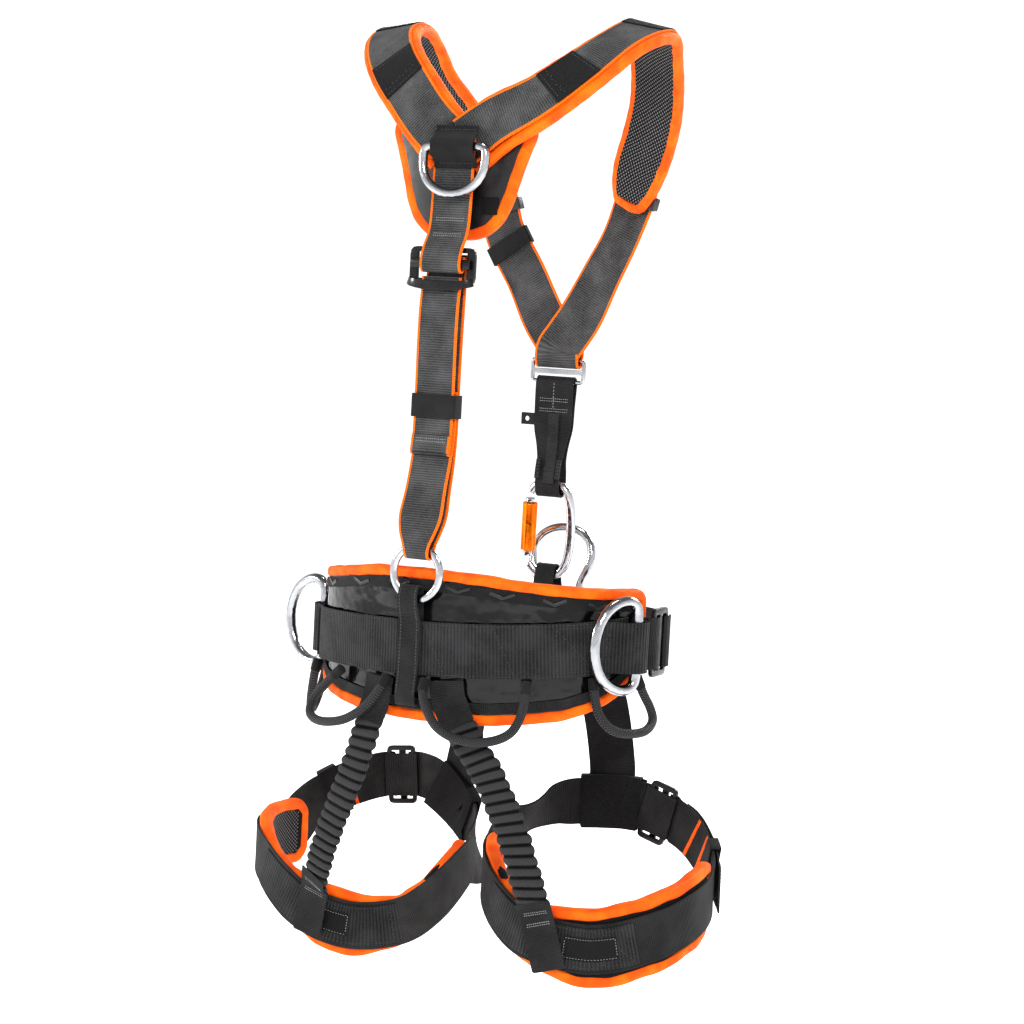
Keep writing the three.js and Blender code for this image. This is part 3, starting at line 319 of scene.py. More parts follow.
MAT = {
    "webbing_grey": webbing("webbing_grey", grey(0.009, 0.0095), grey(0.125, 0.128), 2.1, AMBER, 0.7),
    "webbing_plain": webbing("webbing_plain", grey(0.006, 0.0065), grey(0.034, 0.035), 1.7, depth=0.45),
    "webbing_heather": webbing("webbing_heather", grey(0.008, 0.0085), grey(0.05, 0.051), 1.7, depth=0.45),
    "band_ribbed": webbing("band_ribbed", grey(0.005, 0.0055), grey(0.05, 0.052), 3.1, depth=0.8),
    "elastic": webbing("elastic_black", grey(0.005, 0.0055), grey(0.026, 0.027), 1.2, depth=0.35),
    # the ruffled elastic looks paint shade into the gaps between the gathers
    "ruffle_right": ruffled_painted_gap_shade("ruffled_elastic_right", grey(0.012, 0.0125), grey(0.06, 0.062), RUFFLE, 0.2),
    "ruffle_left": ruffled_painted_gap_shade("ruffled_elastic_left", grey(0.012, 0.0125), grey(0.06, 0.062), RUFFLE, -0.2),
    "mesh": spacer_mesh("spacer_mesh"),
    "binding": binding_look("binding_orange"),
    "laminate": laminate("laminate_black"),
    "cover": plain_cloth("cover_black", grey(0.005, 0.0055), grey(0.016, 0.017)),
    "plate": dark_solid("plate_black", grey(0.005, 0.0055), grey(0.012, 0.013), 0.4),
    "steel": metal("steel_polished", (0.5, 0.51, 0.53), 0.16, (0.36, 0.37, 0.39)),
    "alloy": metal("alloy_polished", (0.62, 0.63, 0.65), 0.18, (0.46, 0.47, 0.49)),
    "anodised": metal("anodised_orange", (1.0, 0.26, 0.01), 0.34, (0.9, 0.16, 0.01)),
    "black_metal": dark_solid("steel_black", grey(0.006, 0.0065), grey(0.014, 0.015), 0.3, 0.4),
    "plastic": dark_solid("plastic_black", grey(0.006, 0.0065), grey(0.013, 0.014), 0.4),
    "braid": braid("cord_braid"),
    "thread_pale": plain_cloth("thread_pale", grey(0.2, 0.2), grey(0.42, 0.42), 0.7),
    "thread_dark": plain_cloth("thread_dark", grey(0.03, 0.031), grey(0.075, 0.077), 0.55),
    "thread_orange": plain_cloth("thread_orange", RED_ORANGE, AMBER, 0.7),
    "label": plain_cloth("label_blank", grey(0.004, 0.0043), grey(0.009, 0.0095), 0.6),
    "clear_strip": dark_solid("plastic_pale", (0.42, 0.43, 0.44), (0.6, 0.61, 0.62), 0.3),
}



# ---- meshes swept along rows ----

def steps(start, end, n):
    return [start + (end - start) * i / n for i in range(n + 1)]


def unit(a):
    return a / np.maximum(np.linalg.norm(a, axis=-1, keepdims=True), 1e-9)


def spline(rows, step, closed=False):
    """Catmull-Rom through rows of numbers, sampled about every step mm of the first three columns."""
    r = np.array(rows, float)
    n = len(r)
    out = []
    for i in range(n if closed else n - 1):
        ids = [(i + d) % n if closed else min(max(i + d, 0), n - 1) for d in (-1, 0, 1, 2)]
        p0, p1, p2, p3 = (r[j] for j in ids)
        parts = max(1, round(float(np.linalg.norm(p2[:3] - p1[:3])) / step))
        for t in np.arange(parts) / parts:
            out.append(0.5 * (2 * p1 + (p2 - p0) * t + (2 * p0 - 5 * p1 + 4 * p2 - p3) * t * t
                              + (3 * p1 - p0 - 3 * p2 + p3) * t ** 3))
    if not closed:
        out.append(r[-1])
    return np.array(out)


class Strap:
    """A run of rows x y z, normal x y z, width, thickness, lift, as smooth frames."""

    def __init__(self, rows, step=2.0, closed=False):
        r = np.array(rows, float)
        r[:, 3:6] = unit(r[:, 3:6])
        r = spline(r, step, closed)
        ahead = np.roll(r[:, :3], -1, 0)
        behind = np.roll(r[:, :3], 1, 0)
        if not closed:
            ahead[-1] = r[-1, :3]
            behind[0] = r[0, :3]
        self.closed = closed
        self.run = unit(ahead - behind)
        self.side = unit(np.cross(self.run, r[:, 3:6]))
        self.up = unit(np.cross(self.side, self.run))
        self.mid = r[:, :3] + self.up * r[:, 8:9]
        self.width = r[:, 6]
        self.thick = r[:, 7]
        gaps = np.linalg.norm(np.diff(self.mid, axis=0), axis=1)
        self.arc = np.concatenate([[0], np.cumsum(gaps)])
        self.length = float(self.arc[-1])

    def at(self, s, across=0.0, lift=0.0):
        """Point s mm along, across mm from the middle and lift mm over the top face."""
        def pick(a):
            return np.array([np.interp(s, self.arc, a[:, i]) for i in range(3)])
        half = float(np.interp(s, self.arc, self.thick)) / 2
        return pick(self.mid) + pick(self.side) * across + pick(self.up) * (half + lift)

    def part(self, s0, s1, across=0.0, width=None, thick=1.2, lift=0.0, step=4.0):
        """Rows of a patch lying on the strap's top face."""
        n = max(2, int((s1 - s0) / step) + 1)
        rows = []
        for s in np.linspace(s0, s1, n):
            p = self.at(s, across, lift + thick / 2)
            up = [float(np.interp(s, self.arc, self.up[:, i])) for i in range(3)]
            w = width or float(np.interp(s, self.arc, self.width))
            rows.append([*p, *up, w, thick, 0])
        return rows


def both_sides(half):
    """Section points (edge, across, rise) for the top face from left edge to middle, mirrored all round."""
    top = half + [(-e, -x, y) for e, x, y in reversed(half)]
    return top + [(e, x, -y) for e, x, y in reversed(top)]


WEB = both_sides([(-1, 0, 0.3), (-1, 0.25, 0.85), (-1, 0.9, 1), (-1, 1.7, 0.95), (-1, 2.2, 0.82),
                  (-0.6, 0, 0.82), (-0.2, 0, 0.82)])
PAD = both_sides([(-1, 0, 0.1), (-1, 1.2, 0.7), (-1, 4, 0.86), (-0.8, 0, 0.9), (-0.62, 0, 0.93),
                  (-0.45, 0, 0.95), (-0.3, 0, 0.97), (-0.15, 0, 0.97), (0, -0.01, 0.98)])
BEAD = both_sides([(-1, 0, 0.12), (-0.93, 0, 0.5), (-0.78, 0, 0.8), (-0.52, 0, 0.97), (-0.2, 0, 1)])
ROUND = both_sides([(-1, 0, 0.01), (-0.924, 0, 0.383), (-0.707, 0, 0.707), (-0.383, 0, 0.924),
                    (-0.1, 0, 0.995)])


def make_mesh(name, verts, faces, mat, web=None, sharp=40):
    mesh = bpy.data.meshes.new(name)
    mesh.from_pydata((np.asarray(verts) * MM).tolist(), [], faces)
    if web is not None:
        layer = mesh.attributes.new("web", "FLOAT_VECTOR", "POINT")
        layer.data.foreach_set("vector", np.asarray(web, np.float32).ravel())
    mesh.materials.append(MAT[mat])
    mesh.shade_smooth()
    mesh.set_sharp_from_angle(angle=math.radians(sharp))
    obj = bpy.data.objects.new(name, mesh)
    bpy.context.scene.collection.objects.link(obj)
    return obj


def finish_piece(obj, stands=()):
    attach(obj, "harness")
    if stands:
        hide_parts(*stands)
    return obj


def sweep(name, strap, mat, stands=(), section=WEB, shape=None):
    """Closed skin of a section carried along a strap; shape(s, x, y) may move the section points."""
    edge = np.array([p[0] for p in section])
    shift = np.array([p[1] for p in section])
    rise = np.array([p[2] for p in section])
    x = strap.width[:, None] / 2 * edge + shift
    y = strap.thick[:, None] / 2 * rise
    s = np.repeat(strap.arc[:, None], len(section), 1)
    if shape:
        x, y = shape(s, x, y)
    p = strap.mid[:, None] + strap.side[:, None] * x[..., None] + strap.up[:, None] * y[..., None]
    n, m = x.shape
    inside = strap.width[:, None] / 2 - np.abs(x)
    web = np.stack([s, x, inside], -1)
    faces = []
    for i in range(n if strap.closed else n - 1):
        a = i * m
        b = (i + 1) % n * m
        faces += [(a + j, a + (j + 1) % m, b + (j + 1) % m, b + j) for j in range(m)]
    if not strap.closed:
        faces.append(tuple(range(m - 1, -1, -1)))
        faces.append(tuple((n - 1) * m + j for j in range(m)))
    obj = make_mesh(name, p.reshape(-1, 3), faces, mat, web.reshape(-1, 3))
    return finish_piece(obj, stands)


def cord_rows(points, dia):
    """Rows for a round rod, with a normal kept square to its run."""
    p = np.array(points, float)
    run = unit(np.gradient(p, axis=0))
    ref = np.array([0.0, 0.0, 1.0])
    rows = []
    for i in range(len(p)):
        ref = ref - run[i] * ref.dot(run[i])
        ref = ref / np.linalg.norm(ref)
        rows.append([*p[i], *ref, dia, dia, 0])
    return rows


STITCH = np.array([(-1, 0, 0), (-0.6, -1, 0), (-0.6, 0, 1), (-0.6, 1, 0),
                   (0.6, -1, 0), (0.6, 0, 1), (0.6, 1, 0), (1, 0, 0)], float)
STITCH_FACES = [(0, 2, 1), (0, 3, 2), (0, 1, 3), (1, 2, 5, 4), (2, 3, 6, 5), (3, 1, 4, 6),
                (7, 4, 5), (7, 5, 6), (7, 6, 4)]


def sew(name, strap, lines, mat="thread_dark", length=2.4, gap=1.0, width=0.34, lift=0.05):
    """Thread stitches along lines of (along, across) points on a strap's top face."""
    verts = []
    faces = []
    for line in lines:
        for (s0, u0), (s1, u1) in zip(line, line[1:]):
            reach = math.hypot(s1 - s0, u1 - u0)
            count = max(1, int(reach / (length + gap)))
            for i in range(count):
                t0 = (i * (length + gap) + gap / 2) / reach
                t1 = t0 + length / reach
                a = strap.at(s0 + (s1 - s0) * t0, u0 + (u1 - u0) * t0, lift)
                b = strap.at(s0 + (s1 - s0) * t1, u0 + (u1 - u0) * t1, lift)
                mid = (a + b) / 2
                run = (b - a) / 2
                k = int(np.argmin(np.abs(strap.arc - (s0 + (s1 - s0) * t0))))
                up = strap.up[k]
                side = unit(np.cross(up, run))
                base = len(verts)
                for x, y, z in STITCH:
                    verts.append(mid + run * x + side * (y * width) + up * (z * width * 0.9 - 0.12))
                faces += [tuple(base + q for q in f) for f in STITCH_FACES]
    finish_piece(make_mesh(name, verts, faces, mat, sharp=60))


def across_line(strap, s, margin=2.5):
    w = float(np.interp(s, strap.arc, strap.width)) / 2 - margin
    return [(s, -w), (s, w)]


def zigzag(strap, s0, s1, turns, margin=3.0):
    w = float(np.interp(s0, strap.arc, strap.width)) / 2 - margin
    us = np.linspace(-w, w, turns + 1)
    return [(s0 if i % 2 else s1, float(u)) for i, u in enumerate(us)]


def box_stitch(s0, s1, half):
    return [(s0, -half), (s1, -half), (s1, half), (s0, half), (s0, -half), (s1, half)]


# ---- frame parts: CAD nodes that keep their shape ----

def dress(node, mat, bevel=0.0, round_off=0):
    """Gives a CAD node its material and softens its edges with modifiers."""
    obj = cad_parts[node]
    obj.data.materials.clear()
    obj.data.materials.append(MAT[mat])
    weld = obj.modifiers.new("weld", "WELD")
    weld.merge_threshold = 0.00001
    if round_off:
        sub = obj.modifiers.new("round", "SUBSURF")
        sub.levels = round_off
        sub.render_levels = round_off
    if bevel:
        b = obj.modifiers.new("bevel", "BEVEL")
        b.width = bevel * MM
        b.segments = 3
        b.limit_method = "ANGLE"
        b.angle_limit = math.radians(35)
    obj.data.shade_smooth()
    if not round_off:
        obj.data.set_sharp_from_angle(angle=math.radians(50))


# ---- waist belt ----

BELT_A, BELT_X, BELT_B = 158, 5, 122
PAD_TOP = [[-90, 52], [-82, 54], [-61, 59], [-46, 63], [-33, 67], [-20, 71.5], [0, 73], [20, 71.5],
           [33, 68], [46, 66], [61, 64], [75, 63], [90, 62]]
PAD_BOTTOM = [[-90, -14], [-82, -20], [-70, -34], [-60, -43], [-49, -50], [-35, -54], [-23, -57], [0, -58],
              [23, -57], [35, -54], [49, -50], [60, -43], [70, -34], [82, -18], [90, -8]]
RING_PHI = {"right": 76, "left": -86}
TAB_Z = {"right": 15, "left": -2}
BUCKLE_PHI = {"right": 94, "left": -106}
BUCKLE_Z = {"right": 16.5, "left": 1}


def table(rows, x):
    """Eased value of a table of (x, value) rows."""
    if x <= rows[0][0]:
        return rows[0][1]
    for (x0, v0), (x1, v1) in zip(rows, rows[1:]):
        if x <= x1:
            t = (x - x0) / (x1 - x0)
            return v0 + (v1 - v0) * (0.5 * t + 0.5 * t * t * (3 - 2 * t))
    return rows[-1][1]


def belt_point(phi, d, z):
    a = math.radians(phi)
    return [BELT_X + (BELT_A + d) * math.sin(a), -(BELT_B + d) * math.cos(a), z]


def belt_row(phi, d, z, w, t):
    a = math.radians(phi)
    return [*belt_point(phi, d, z), math.sin(a) / BELT_A, -math.cos(a) / BELT_B, 0, w, t, 0]


def band_z(phi):
    if phi > 0:
        return 5 + 12 * (phi / 76) ** 1.3
    return 5 - 9 * (-phi / 88) ** 1.5


def pad_span(phi):
    return table(PAD_TOP, phi), table(PAD_BOTTOM, phi)


PAD_MIDDLE = -8.5  # the belt pad lies this far inside the belt's line
PAD_T = 10.4
RIM_STEPS = 34


def rim_rows(top, bottom, point, normal, p0, p1, inset, width, thick, corner):
    """Closed rows round a pad's outline, inset from its edges, with corners of (degrees, mm)."""
    side, fall = corner

    def end(p, out):
        bend = [(p - out * side * (f - 0.12), fall * g) for f, g in ((0.62, 0.12), (0.2, 0.5))]
        face = [(p - out * side * 0.08, top(p) + (bottom(p) - top(p)) * f) for f in (0.33, 0.67)]
        high = [(q, top(p) - inset - g) for q, g in bend]
        low = [(q, bottom(p) + inset + g) for q, g in bend]
        return high + face + low[::-1]

    phis = steps(p0 + side, p1 - side, RIM_STEPS)
    pts = [(phi, top(phi) - inset) for phi in phis] + end(p1, 1)
    pts += [(phi, bottom(phi) + inset) for phi in phis[::-1]] + end(p0, -1)[::-1]
    return [[*point(phi, z), *normal(phi), width, thick, 0] for phi, z in pts]


def gathers(amount, pitch):
    """Small puckers along a bound edge."""
    def shape(s, x, y):
        lump = np.sin(s * 2 * math.pi / pitch) * 0.6 + np.sin(s * 2 * math.pi / (pitch * 2.7) + 1) * 0.4
        return x * (1 + amount * 0.05 * lump), y * (1 + amount * 0.06 * lump)
    return shape


def moulded(s, x, y):
    """Raised leaf shapes along a belt pad's top edge, and a faintly uneven outer face."""
    from_edge = np.clip(51 - np.abs(x), 0, 60) / 24
    grow = np.zeros_like(x)
    for f in (0.3, 0.42, 0.56, 0.7):
        near = np.abs(s - f * s[-1, 0]) / 20
        grow = np.maximum(grow, np.clip(1 - near - from_edge, 0, 1))
    wave = 0.21 * np.sin(s / 17.0) * np.cos(x / 13.0)
    return x, np.where(y > 0, y + np.minimum(grow * 3, 1.3) * (x < 0) * 0.9 + wave - 0.4, y)


def bound(name, rows, amount, pitch, closed=False):
    """Padded orange binding along rows, gathered a little."""
    strap = Strap(rows, 2.2, closed)
    sweep(name, strap, "binding", (), BEAD, gathers(amount, pitch))


def belt():
    rows = []
    for phi in steps(-87.4, 88.6, 44):
        zt, zb = pad_span(phi)
        rows.append(belt_row(phi, PAD_MIDDLE, (zt + zb) / 2, zt - zb - 3, PAD_T))
    body = Strap(rows, 2.5)
    sweep("waist_pad_body", body, "laminate", ("waist_pad",), PAD, moulded)
    lining = [r[:6] + [r[6] - 15, 0.8, -5.3] for r in rows]
    sweep("waist_pad_lining", Strap(lining, 3), "mesh")
    rim = rim_rows(lambda p: table(PAD_TOP, p), lambda p: table(PAD_BOTTOM, p),
                   lambda p, z: belt_point(p, PAD_MIDDLE, z),
                   lambda p: belt_row(p, 0, 0, 0, 0)[3:6],
                   -88, 89, 4.4, 10.5, 12.6, (4.5, 12))
    bound("waist_pad_binding", rim, 0.7, 23, True)
    for name, mat, edge, end, inset in (("border", "webbing_plain", PAD_BOTTOM, 84, 14.5),
                                        ("hem", "elastic", PAD_TOP, 83, -14)):
        strip = [belt_row(p, -2.9, table(edge, p) + inset, 9, 1.0) for p in steps(-end, end, 40)]
        sweep(f"waist_pad_{name}", Strap(strip, 3), mat)
    for i, phi in enumerate((-66, -49, -27, -9, 12, 27, 45, 62)):
        z = table(PAD_TOP, phi) - 12
        leaf = [belt_row(phi + p, -2.6, z - 4 * (1 - abs(p) / 4.2), 3.4, 1.6)
                for p in (-4.2, -2.6, -1, 0, 1, 2.6, 4.2)]
        sweep(f"waist_pad_leaf_{i}", Strap(leaf, 1), "plate", (), BEAD)
    band = Strap([belt_row(p, 1.2, band_z(p), 47, 2.2) for p in steps(-88, 75.8, 40)])
    sweep("waist_band_web", band, "band_ribbed", ("waist_band",))
    lines = [[(6, -21), (6, 21)], [(18, -21), (18, 21)]]
    for f in (0.26, 0.42, 0.57, 0.72):
        s = band.length * f
        lines.append([(s - 9, -21), (s + 9, 21)])
    s = band.length * 0.83
    lines.append(box_stitch(s, s + 34, 19))
    lines += [[(14, u), (band.length - 14, u)] for u in (-21.5, 21.5)]
    sew("waist_band_stitches", band, lines)
    panel = Strap([belt_row(p, 3.8, 9.5, 44, 2) for p in steps(163, 197, 8)])
    sweep("belt_centre_web", panel, "webbing_plain", ("belt_centre_panel",))
    sew("belt_centre_stitches", panel, [box_stitch(6, panel.length - 6, 18)])
    facing = belt_row(-87, 0, 0, 5, 1.2)[3:]
    strip = [belt_point(-87.2, -2.0, z) + facing for z in (-8, 4, 18, 32, 44)]
    sweep("waist_pad_end_strip", Strap(strip, 3), "clear_strip")


FRONT_TURNS = [[9.8, 10.8], [6.4, 12], [3.6, 10.6], [3.2, 7], [4.2, 3.4], [7, 1.6], [11, 1.2], [19, 1.2]]
TAB_TURNS = [[-17, 1.2], [-12.5, 1.6], [-8.6, 2.1], [-5.9, 3.4], [-3.9, 5.2], [-3.6, 8.6], [-4.8, 11.6],
             [-7, 12], [-9, 10], [-10.2, 7.6]]
RING_TURNS = [[-16, 3.9], [-11, 4.2], [-7.6, 8], [-5.6, 13.4], [-3, 16.9], [0, 17.9], [3, 16.5], [5, 11.8],
              [6.3, 7], [7.5, 5]]


def belt_side(side):
    s = 1 if side == "right" else -1
    c = RING_PHI[side]
    tab = Strap([belt_row(c + s * p, d, TAB_Z[side], 44, WEB_T) for p, d in RING_TURNS], 1.5)
    sweep(f"side_ring_web_{side}", tab, "band_ribbed", (f"side_ring_tab_{side}",))
    sew(f"side_ring_stitches_{side}", tab, [zigzag(tab, 3, 7, 11), zigzag(tab, 9, 13, 11)])
    c = BUCKLE_PHI[side]
    z = BUCKLE_Z[side]
    tab = Strap([belt_row(c + s * p, d, z, WEB_W, WEB_T) for p, d in TAB_TURNS], 1.5)
    sweep(f"belt_tab_web_{side}", tab, "webbing_plain", (f"belt_tab_{side}",))
    front = [[abs(c) + p, d, z] for p, d in FRONT_TURNS]
    for i in range(1, 6):
        front.append([abs(c) + 19 + (157.5 - abs(c)) * i / 5, 1.2, z + (9.5 - z) * i / 5])
    strap = Strap([belt_row(s * p, d, h, WEB_W, WEB_T) for p, d, h in front])
    sweep(f"belt_front_web_{side}", strap, "webbing_plain", (f"belt_front_{side}",))
    sew(f"belt_front_stitches_{side}", strap,
        [across_line(strap, 46), across_line(strap, 50), across_line(strap, 54)])
    back = Strap([belt_row(s * (abs(c) + p), -0.9, z, 43, 1.2) for p in (-5, -1, 3, 7)])
    sweep(f"belt_web_bridge_{side}", back, "webbing_plain")
    dress(f"belt_buckle_{side}", "black_metal", 0.9)
    dress(f"side_ring_{side}", "steel", round_off=2)


GEAR = {
    "rear_right": [[3.9, 4.8, -20], [3.9, 9.6, -31], [6.4, 15.5, -45], [10.5, 19, -59], [17, 20, -67],
                   [25, 19, -67], [31.5, 15, -59], [35, 8.4, -42], [36.5, 2.2, -15.5]],
    "rear_left": [[-10, 5, -21], [-11, 9.6, -32], [-15, 15.5, -50], [-22, 20, -64], [-32, 22, -70],
                  [-40, 21, -67], [-42.5, 16, -55], [-38, 9, -38], [-33, 2.4, -24]],
    "front_right": [[60, 2.2, -11.5], [60, 7, -28], [61, 12, -43], [64.5, 17, -54], [71, 19, -58],
                    [79, 19, -57], [85, 16, -50], [86, 12, -40], [83.5, 7, -26], [81, 3.4, -11.5]],
    "front_left": [[-63, 2.2, -26], [-63, 5, -38], [-65, 7, -56], [-68, 8, -69], [-73, 8, -75],
                   [-78, 8, -71], [-81, 6, -58], [-81.5, 3, -44], [-80, 1, -31]],
}


def gear_loops():
    for name, turns in GEAR.items():
        path = spline([belt_point(*t) for t in turns], 3)
        sweep(f"gear_cord_{name}", Strap(cord_rows(path, 8), 3), "braid", (f"gear_loop_{name}",), ROUND)
        for end, where in (("a", 0), ("b", -1)):
            p = path[where]
            q = path[3] if where == 0 else path[-4]
            run = (q - p) / np.linalg.norm(q - p)
            cap = cord_rows([p + run * t for t in (0.5, 4, 8, 11)], 9.2)
            sweep(f"gear_cap_{name}_{end}", Strap(cap, 2), "elastic", (), ROUND)


# ---- yoke, shoulder and back webbing ----

ARM = {
    "right": [
        [6, -91, 434, 0, -1, 0.05], [36, -90, 457, -0.05, -0.96, 0.24], [71, -83, 478, 0, -0.87, 0.45],
        [100, -64, 505, 0.02, -0.77, 0.62], [120, -38, 530, 0, -0.62, 0.78],
        [129, -10, 544, 0.15, -0.25, 0.95], [128, 18, 547, 0.22, 0.2, 0.95],
        [120, 45, 532, 0.24, 0.6, 0.75], [113, 67, 512, 0.22, 0.8, 0.5],
        [103, 88, 485, 0.18, 0.9, 0.36], [90, 103, 456, 0.12, 0.95, 0.24],
        [76, 113.5, 427, 0.14, 0.97, 0.12], [66, 120, 400, 0.24, 0.96, 0.05],
    ],
    "left": [
        [-6, -91, 434, 0, -1, 0.05], [-29, -91, 458, -0.12, -0.95, 0.24],
        [-54, -85, 484, -0.24, -0.86, 0.42], [-80, -68, 507, -0.34, -0.7, 0.62],
        [-101, -44, 527, -0.34, -0.44, 0.84], [-115, -14, 541, -0.24, -0.1, 0.96],
        [-121, 18, 546, -0.1, 0.25, 0.95], [-124, 48, 534, 0.02, 0.6, 0.78],
        [-121, 74, 513, 0.22, 0.75, 0.55], [-112, 97, 486, 0.2, 0.88, 0.38],
        [-99, 111, 456, 0.16, 0.95, 0.22], [-85, 119.5, 426, 0.12, 0.98, 0.12],
        [-77, 122.5, 398, 0.1, 0.99, 0.05],
    ],
}
PLATE = [[359, 16], [362, 27], [367, 35], [376, 43], [391, 50], [408, 55], [430, 62], [450, 69], [463, 62]]
YOKE_T = 9


def down(x, y, z, nx, ny, nz=0):
    return [x, y, z, nx, ny, nz, WEB_W, WEB_T - 0.3, 0]


def shoulder_rows(side):
    rows = [r + [WEB_W, WEB_T, 1.6] for r in ARM[side][1:]]
    if side == "right":
        rows = [[10, -91, 439, 0, -1, 0.05, WEB_W, WEB_T, 5.2]] + rows
        rows[1][8] = 4.4
        rows[2][8] = 2.2
        return rows + [
            down(54, 121.6, 366, 0.3, 0.95), down(38.5, 119.4, 333, 0.22, 0.97),
            down(22, 116.6, 297, 0.03, 1),
            down(7, 114.4, 273, 0, 1), down(0, 113, 262, 0, 1), down(0, 112.6, 254, 0, 1),
            down(0, 113.6, 248.6, 0, 0.6, 0.8), down(0, 117, 246.4, 0, 0, 1),
            down(0, 120.4, 248.6, 0, -0.6, 0.8),
            down(0, 122.4, 254, 0, -1), down(0, 123.6, 264, 0, -1)]
    rows = [[-9, -91, 441, 0, -1, 0.05, WEB_W, WEB_T, 1.4]] + rows
    return rows + [
        down(-66, 123.4, 366, 0.12, 0.99), down(-42, 123.8, 328, 0.1, 0.99), down(-23, 123, 294, 0, 1),
        down(-8, 120.7, 275, 0, 1), down(-1, 118.9, 266, 0, 1), down(0, 118.6, 258.5, 0, 1)]


def plate_y(x):
    return -88.5 + 0.0016 * x * x


def yoke_plate():
    outline = [[w, z] for z, w in PLATE[:-1]] + [[66, 458]]
    ring = outline + [[-x, z] for x, z in reversed(outline)]
    rows = [[x * 0.94, plate_y(x) + YOKE_T / 2, 408 + (z - 408) * 0.955, 0.0032 * x * 0.9, -1, 0,
             10.5, 10.8, 0] for x, z in ring]
    low = [[0, plate_y(0) + YOKE_T / 2, 361.5, 0, -1, 0, 10.5, 10.8, 0]]
    bound("yoke_plate_binding", low + rows[:len(outline)], 0.6, 19)
    bound("yoke_plate_binding_left", low + rows[:len(outline) - 1:-1], 0.6, 19)
    wide = spline([[0, 0, z, w - 3] for z, w in PLATE], 4)
    verts = []
    cols = 25
    for _, _, z, w in wide:
        xs = steps(-w, w, cols - 1)
        verts += [(x, plate_y(x) + 0.1 + 0.5 * abs(x / w) ** 6, z) for x in xs]
        verts += [(x, plate_y(x) + YOKE_T - 0.6, z) for x in xs[::-1]]
    m = cols * 2
    n = len(wide)
    faces = [(i * m + j, (i + 1) * m + j, (i + 1) * m + (j + 1) % m, i * m + (j + 1) % m)
             for i in range(n - 1) for j in range(m)]
    faces += [tuple(range(m)), tuple((n - 1) * m + j for j in range(m - 1, -1, -1))]
    web = [(v[2], v[0], 9) for v in verts]
    body = make_mesh("yoke_plate_body", verts, faces, "plate", web)
    finish_piece(body, ("yoke_pad",))
    sheet = [(x * 0.93, y - 0.5 if y > plate_y(x) + 4 else y + 6, 410 + (z - 410) * 0.93)
             for x, y, z in verts]
    sheet = [(x, y + (0.9 if i % m >= cols else 2.0), z) for i, (x, y, z) in enumerate(sheet)]
    lining = make_mesh("yoke_plate_lining", sheet, faces, "mesh", web)
    finish_piece(lining)


def yoke_arm(side):
    rows = spline([r + [53, YOKE_T, -YOKE_T / 2] for r in ARM[side]], 6)
    n = len(rows)
    reach = 46.0
    gone = np.concatenate([np.cumsum(np.linalg.norm(np.diff(rows[::-1, :3], axis=0), axis=1))[::-1], [0]])
    for i in range(n):
        e = min(1.0, (gone[i] + 2) / reach)
        rows[i][6] *= 0.42 + 0.58 * math.sqrt(1 - (1 - e) ** 2)
    body = rows.copy()
    body[:, 6] -= 7
    body[:, 7] -= 0.6
    keep = body[:-1]
    sweep(f"yoke_arm_body_{side}", Strap(keep, 3), "cover", (), PAD)
    lining = keep.copy()
    lining[:, 6] -= 4
    lining[:, 7] = 0.9
    lining[:, 8] = -YOKE_T - 0.2
    sweep(f"yoke_arm_lining_{side}", Strap(lining, 3), "mesh")
    guide = Strap(rows, 6)
    edge = {}
    for sign in (-1, 1):
        off = (guide.width / 2 - 3.7) * sign
        edge[sign] = guide.mid + guide.side * off[:, None]
    tip = guide.mid[-1] + guide.run[-1] * 1.5
    path = list(zip(edge[-1], guide.up)) + [(tip, guide.up[-1])] + list(zip(edge[1][::-1], guide.up[::-1]))
    bind = [[*p, *u, 9.2, 10.2, 0] for p, u in path]
    bound(f"yoke_arm_binding_{side}", bind, 0.7, 17)


def yz_rows(path, width, t, x=0, closed=False):
    n = len(path)
    rows = []
    for i, p in enumerate(path):
        a = path[(i - 1) % n] if closed else path[max(i - 1, 0)]
        b = path[(i + 1) % n] if closed else path[min(i + 1, n - 1)]
        rows.append([x, p[0], p[1], 0, b[1] - a[1], a[0] - b[0], p[2] if len(p) > 2 else width, t, 0])
    return rows


BACK_UPPER = [[-99, 450], [-99.4, 438], [-99.8, 416], [-100.4, 392], [-102, 370], [-105.6, 358.5],
              [-110.8, 350], [-114.2, 342], [-115.4, 335.6], [-114.4, 330], [-111.4, 327.8],
              [-108.6, 330], [-107.8, 334.6], [-107.4, 341]]
BACK_INNER = [[-101.6, 343], [-102.4, 325], [-103.4, 300], [-104.4, 270], [-104.9, 240], [-105, 216],
              [-105.3, 190], [-107.5, 165], [-112, 140], [-117.4, 119, 42], [-120.6, 105, 36],
              [-121.4, 95, 28], [-121.8, 88.5, 25], [-123.6, 84, 24], [-127, 82.4, 24],
              [-130.4, 84, 24], [-132.2, 88.5, 25], [-132.4, 95, 28], [-131, 105, 36], [-127, 119, 42],
              [-120.4, 141], [-114.4, 163], [-110.4, 183], [-109, 204], [-109, 226]]
BACK_TAIL = [[-109.8, 323.6], [-109.8, 316], [-111.4, 305], [-112.6, 290], [-113, 262], [-112.6, 236],
             [-112.6, 200], [-113.4, 184], [-115.5, 171]]
DORSAL_BAND = [[-101.6, 453], [-102.4, 448.5], [-106, 444], [-110, 440], [-111.6, 435], [-110.2, 430],
               [-106.4, 425.5], [-102.8, 421.5], [-102.2, 417]]
RING_SLING = [[-120.1, -34], [-120.1, -6], [-120.1, 26], [-120.3, 42], [-121.2, 51], [-123.4, 57],
              [-127, 58.8], [-130.6, 57], [-132.6, 51], [-132, 42, 20], [-129.6, 34, 21],
              [-127.4, 26, 22], [-127, 0, 22], [-127.4, -20, 21], [-129.4, -34, 20], [-128.6, -42, 20],
              [-125.4, -45, 20], [-122, -41, 20]]


